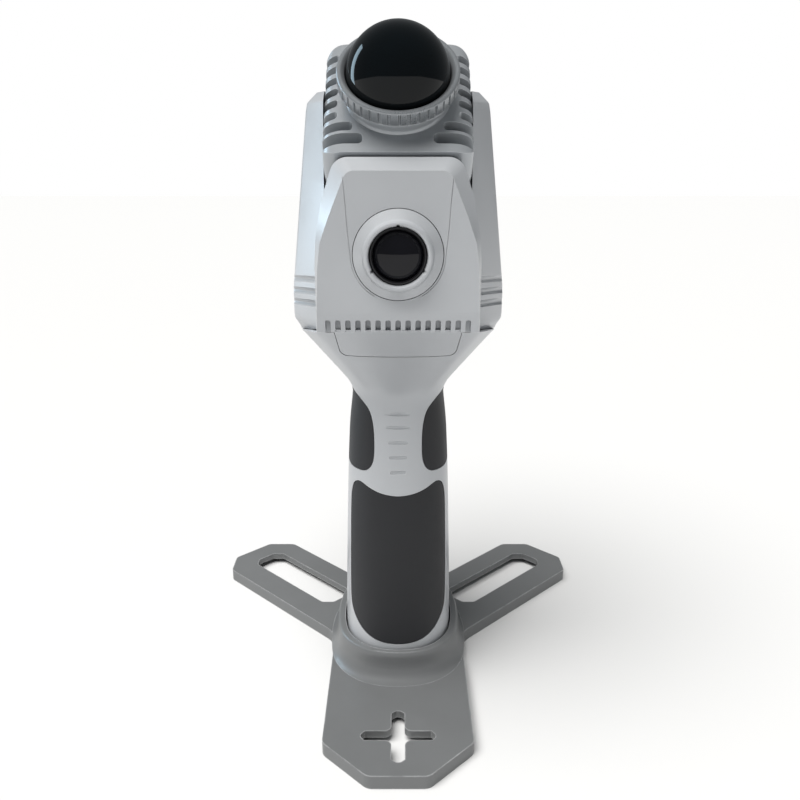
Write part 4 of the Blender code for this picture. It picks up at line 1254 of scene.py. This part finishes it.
def build_camera():
    bezel_profile = [
        (LENS_R + 0.8, -4.0), (LENS_R + 0.8, 5.2), (LENS_R + 1.0, 5.9), (LENS_R + 1.4, 6.3),
        (LENS_R + 1.9, 6.4), (LENS_R + 2.5, 6.2), (LENS_R + 3.0, 5.6), (LENS_R + 3.3, 4.8),
        (LENS_R + 3.4, 3.9), (LENS_R + 3.6, 3.3), (LENS_R + 4.0, 2.9), (BEZEL_OUTER - 0.6, 0.8),
        (BEZEL_OUTER - 0.1, 0.4), (BEZEL_OUTER, 0.0), (BEZEL_OUTER, -4.0),
    ]

    def notch(angle, radius, height):
        thirds = [angle - math.radians(at) + math.pi for at in (90.0, 210.0, 330.0)]
        near = min(abs(third % (2 * math.pi) - math.pi) for third in thirds)
        return -0.55 if near < 0.035 and radius < LENS_R + 1.5 and height > 2.0 else 0.0

    bezel = revolve("bezel", bezel_profile, FACING, closed=True, ripple=notch, steps=180)
    shown(bezel, "camera_bezel", "silver", bevel=0.0)
    barrel = [
        (LENS_R + 0.5, -18.0), (LENS_R + 0.5, 3.3), (LENS_R + 0.2, 3.6), (LENS_R - 0.3, 3.6),
        (LENS_R - 0.8, 3.0), (LENS_R - 0.8, 0.0), (9.4, -0.6), (9.4, -1.6), (6.6, -2.4), (6.6, -14.0),
        (4.4, -14.0), (4.4, -18.0),
    ]
    shown(revolve("barrel", barrel, FACING, closed=True), "lens_barrel", "black_metal", bevel=0.0)
    outer = [
        (0.0, 5.2), (1.5, 5.15), (3.0, 5.0), (4.5, 4.75), (6.0, 4.4), (7.5, 3.95), (9.0, 3.3),
        (LENS_R - 1.1, 2.2),
    ]
    inner = [(LENS_R - 1.1, 0.9), (8.0, 0.4), (6.8, -1.4), (0.0, -1.4)]
    shown(revolve("lens", outer + inner, FACING), "front_lens", "lens_glass", bevel=0.0)


# The LiDAR module


def fin_slots():
    """Round-ended slots through both sides, open to the deck, in the module's own frame."""
    slots = []
    for sign in (-1, 1):
        for i in range(FIN_COUNT):
            middle = FIN_FIRST + i * FIN_PITCH
            width, reach = FIN_SLOTS[i] if i < len(FIN_SLOTS) else FIN_SLOT
            low, high = middle - width / 2, middle + width / 2
            corners = [(reach, low), (LIDAR_HALF + 5.0, low), (LIDAR_HALF + 5.0, high), (reach, high)]
            end = width * FIN_END
            outline = filleted(corners, [end, 0.0, 0.0, end], 6)
            slots.append(
                prism("slot", [(sign * x, y) for x, y in outline], "Z", -21.0, LIDAR_DECK + 5.0, LIDAR)
            )
    return joined("fin_slots", slots)


def build_lidar():
    body = prism(
        "module",
        rounded_box(LIDAR_HALF, -LIDAR_HALF, LIDAR_HALF, 7.0, 10),
        "Z",
        LIDAR_BACK,
        LIDAR_DECK,
        LIDAR,
    )
    arc = []
    for a in steps_between(0.0, math.pi / 2, 13):
        arc.append((22.0 + 10.5 * math.sin(a), LIDAR_DECK - 6.4 * (1.0 - math.cos(a))))
    shoulders = arc + [(33.0, LIDAR_DECK - 9.0), (33.0, LIDAR_BACK - 1.0)]
    keep(body, prism("shoulders", mirrored(shoulders), "Y", -40.0, 40.0, LIDAR))
    boss = [
        (0.0, BOSS_TOP), (BOSS_LIP - 0.3, BOSS_TOP), (BOSS_LIP, BOSS_TOP - 0.3), (BOSS_LIP, -5.0),
        (BOSS_LIP - 0.3, -5.3), (BOSS_R + 0.3, -6.0), (BOSS_R, -6.5), (BOSS_R, -9.0),
        (BOSS_R + 0.25, -9.8), (BOSS_R + 0.9, -10.6), (BOSS_R + 0.9, -13.0), (0.0, -13.0),
    ]
    fuse(body, revolve("boss", boss, LIDAR))
    bore = [
        (0.0, 2.0), (MODULE_BORE, 2.0), (MODULE_BORE, -24.0), (20.0, -24.0), (20.0, LIDAR_BACK + 2.4),
        (0.0, LIDAR_BACK + 2.4),
    ]
    cut(body, revolve("bore", bore, LIDAR), fin_slots())
    cut(
        body,
        cylinder(
            "cable",
            3.4,
            (0.0, 12.0, LIDAR_BACK - 3.0),
            (0.0, 12.0, LIDAR_BACK + 8.0),
            sides=32,
            place=LIDAR,
        ),
    )
    shown(
        body,
        "lidar_housing",
        "silver",
        smooth=30.0,
        bevel=0.5,
        segments=3,
        limit=40.0,
        look="module_metal",
    )

    def knurl(angle, radius, height):
        if radius < RING_R - 0.2 or height > RING_TOP - 1.0:
            return 0.0
        phase = (angle * KNURL_COUNT / (2 * math.pi)) % 1.0
        return KNURL_DEPTH if phase < KNURL_SHARE else 0.0

    eye = DOME_R + GAP
    ring = [
        (eye, RING_FOOT), (eye, 2.2), (eye + 0.2, 2.6), (eye + 1.4, 3.8), (eye + 1.8, RING_TOP),
        (RING_R - 0.9, RING_TOP), (RING_R - 0.5, RING_TOP - 0.1), (RING_R - 0.1, RING_TOP - 0.5),
        (RING_R, RING_TOP - 0.8), (RING_R, RING_TOP - 1.2), (RING_R, RING_FOOT + 0.5),
        (RING_R - 0.4, RING_FOOT),
    ]
    shown(
        revolve("ring", ring, LIDAR, closed=True, ripple=knurl, steps=400),
        "lidar_ring",
        "silver",
        smooth=40.0,
        bevel=0.0,
        look="ring_metal",
    )

    angles = steps_between(math.pi / 2, 0.0, 25)
    outer = [(DOME_R * math.cos(a), DOME_R * math.sin(a)) for a in angles]
    inner = [((DOME_R - 1.6) * math.cos(a), (DOME_R - 1.6) * math.sin(a)) for a in reversed(angles)]
    profile = outer + [(DOME_R, DOME_FOOT), (DOME_R - 1.6, DOME_FOOT)] + inner
    shown(
        revolve("dome", profile, LIDAR, steps=128), "lidar_dome", "dome_window", smooth=40.0, bevel=0.0
    )


# CAD nodes that keep their shape


def dress_cad():
    """A bevel and a real material on every node that still shows."""
    slots = {entry["slot"] for entry in frame["record"]["materials"]}
    for name, obj in frame["nodes"].items():
        if obj.hide_render:
            continue
        slot = SLOT_OF[name]
        assert slot in slots, slot
        obj.data.materials.clear()
        obj.data.materials.append(LOOKS[slot])
        rounded_edges(obj, 0.2, 2, 35.0)


SLOT_OF = {
    "battery_cradle": "black_plastic",
    "button_board": "board",
    "camera_board": "board",
    "contact_plate_high": "nickel",
    "contact_plate_low": "nickel",
    "dome_gasket": "soft_black",
    "door_latch": "accent",
    "door_pin": "steel",
    "fan_frame": "black_plastic",
    "fan_rotor": "black_plastic",
    "heat_sink": "nickel",
    "imu_module": "steel",
    "lidar_motor": "steel",
    "lidar_optics": "black_metal",
    "lidar_rotor": "black_metal",
    "main_board": "board",
    "port_cover": "soft_black",
    "port_pin": "steel",
    "rear_cover": "grey_metal",
    "rear_gasket": "soft_black",
    "rear_lens": "lens_glass",
    "status_light": "light_pipe",
    "usb_socket": "steel",
}
for number in range(1, 5):
    SLOT_OF[f"base_screw_{number}"] = "steel"
    SLOT_OF[f"rear_screw_{number}"] = "steel"
    SLOT_OF[f"battery_cell_{number}"] = "cell_wrap"


# Stage


def add_lamp(name, kind, power, colour, heading, place=(0.0, 0.0, 0.0)):
    light = bpy.data.lights.new(name, kind)
    light.energy = power
    light.color = colour
    lamp = bpy.data.objects.new(name, light)
    lamp.location = place
    lamp.rotation_euler = Vector(heading).to_track_quat("-Z", "Y").to_euler()
    bpy.context.scene.collection.objects.link(lamp)
    return lamp


def build_floor():
    bm = bmesh.new()
    bmesh.ops.create_grid(bm, x_segments=4, y_segments=4, size=FLOOR_HALF / MM)
    floor = object_from(bm, "floor")
    pale = bpy.data.materials.new("pale_floor")
    pale.use_nodes = True
    shader = pale.node_tree.nodes["Principled BSDF"]
    shader.inputs["Base Color"].default_value = (FLOOR_TONE, FLOOR_TONE, FLOOR_TONE, 1.0)
    shader.inputs["Roughness"].default_value = 0.9
    shader.inputs["Specular IOR Level"].default_value = 0.1
    floor.data.materials.append(pale)


def build_world():
    """White behind the object, and a dimmer pale light on it."""
    world = bpy.data.worlds.new("studio")
    bpy.context.scene.world = world
    world.use_nodes = True
    tree = world.node_tree
    back = tree.nodes["Background"]
    back.inputs["Color"].default_value = (*AMBIENT_COLOUR, 1.0)
    back.inputs["Strength"].default_value = AMBIENT
    seen = node(tree, "Background", {"Color": (1.0, 1.0, 1.0, 1.0), "Strength": 1.0})
    camera_ray = node(tree, "LightPath").outputs["Is Camera Ray"]
    mix = node(tree, "MixShader", {0: camera_ray, 1: back.outputs[0], 2: seen.outputs[0]})
    tree.links.new(mix.outputs[0], tree.nodes["World Output"].inputs["Surface"])


def build_lights():
    """A wide sun that no gloss mirrors, and a strip that only gloss shows, left of the dome."""
    sun = add_lamp("sky_panel", "SUN", SUN_POWER, SUN_COLOUR, SUN_HEADING)
    sun.data.angle = math.radians(SUN_WIDTH)
    sun.visible_glossy = False
    heading = Vector(STRIP_AIM) - Vector(STRIP_AT)
    strip = add_lamp("left_strip", "AREA", STRIP_POWER, STRIP_COLOUR, heading, STRIP_AT)
    strip.data.shape = "RECTANGLE"
    strip.data.size, strip.data.size_y = STRIP_SIZE
    strip.visible_diffuse = False


def build_camera_view():
    lens = bpy.data.cameras.new("view")
    lens.lens = CAMERA_LENS
    lens.sensor_width = 36.0
    lens.shift_x = CAMERA_SHIFT_X
    lens.clip_start = 0.01
    eye = bpy.data.objects.new("view", lens)
    eye.location = CAMERA_AT
    eye.rotation_euler = (math.radians(CAMERA_PITCH), 0.0, 0.0)
    bpy.context.scene.collection.objects.link(eye)
    bpy.context.scene.camera = eye
    bpy.context.scene.view_settings.view_transform = "Standard"


build_camera_view()
build_floor()
build_world()
build_lights()
build_base()
build_handle()
build_grips()
build_buttons()
build_door()
build_head()
build_cover()
build_camera()
build_lidar()
dress_cad()
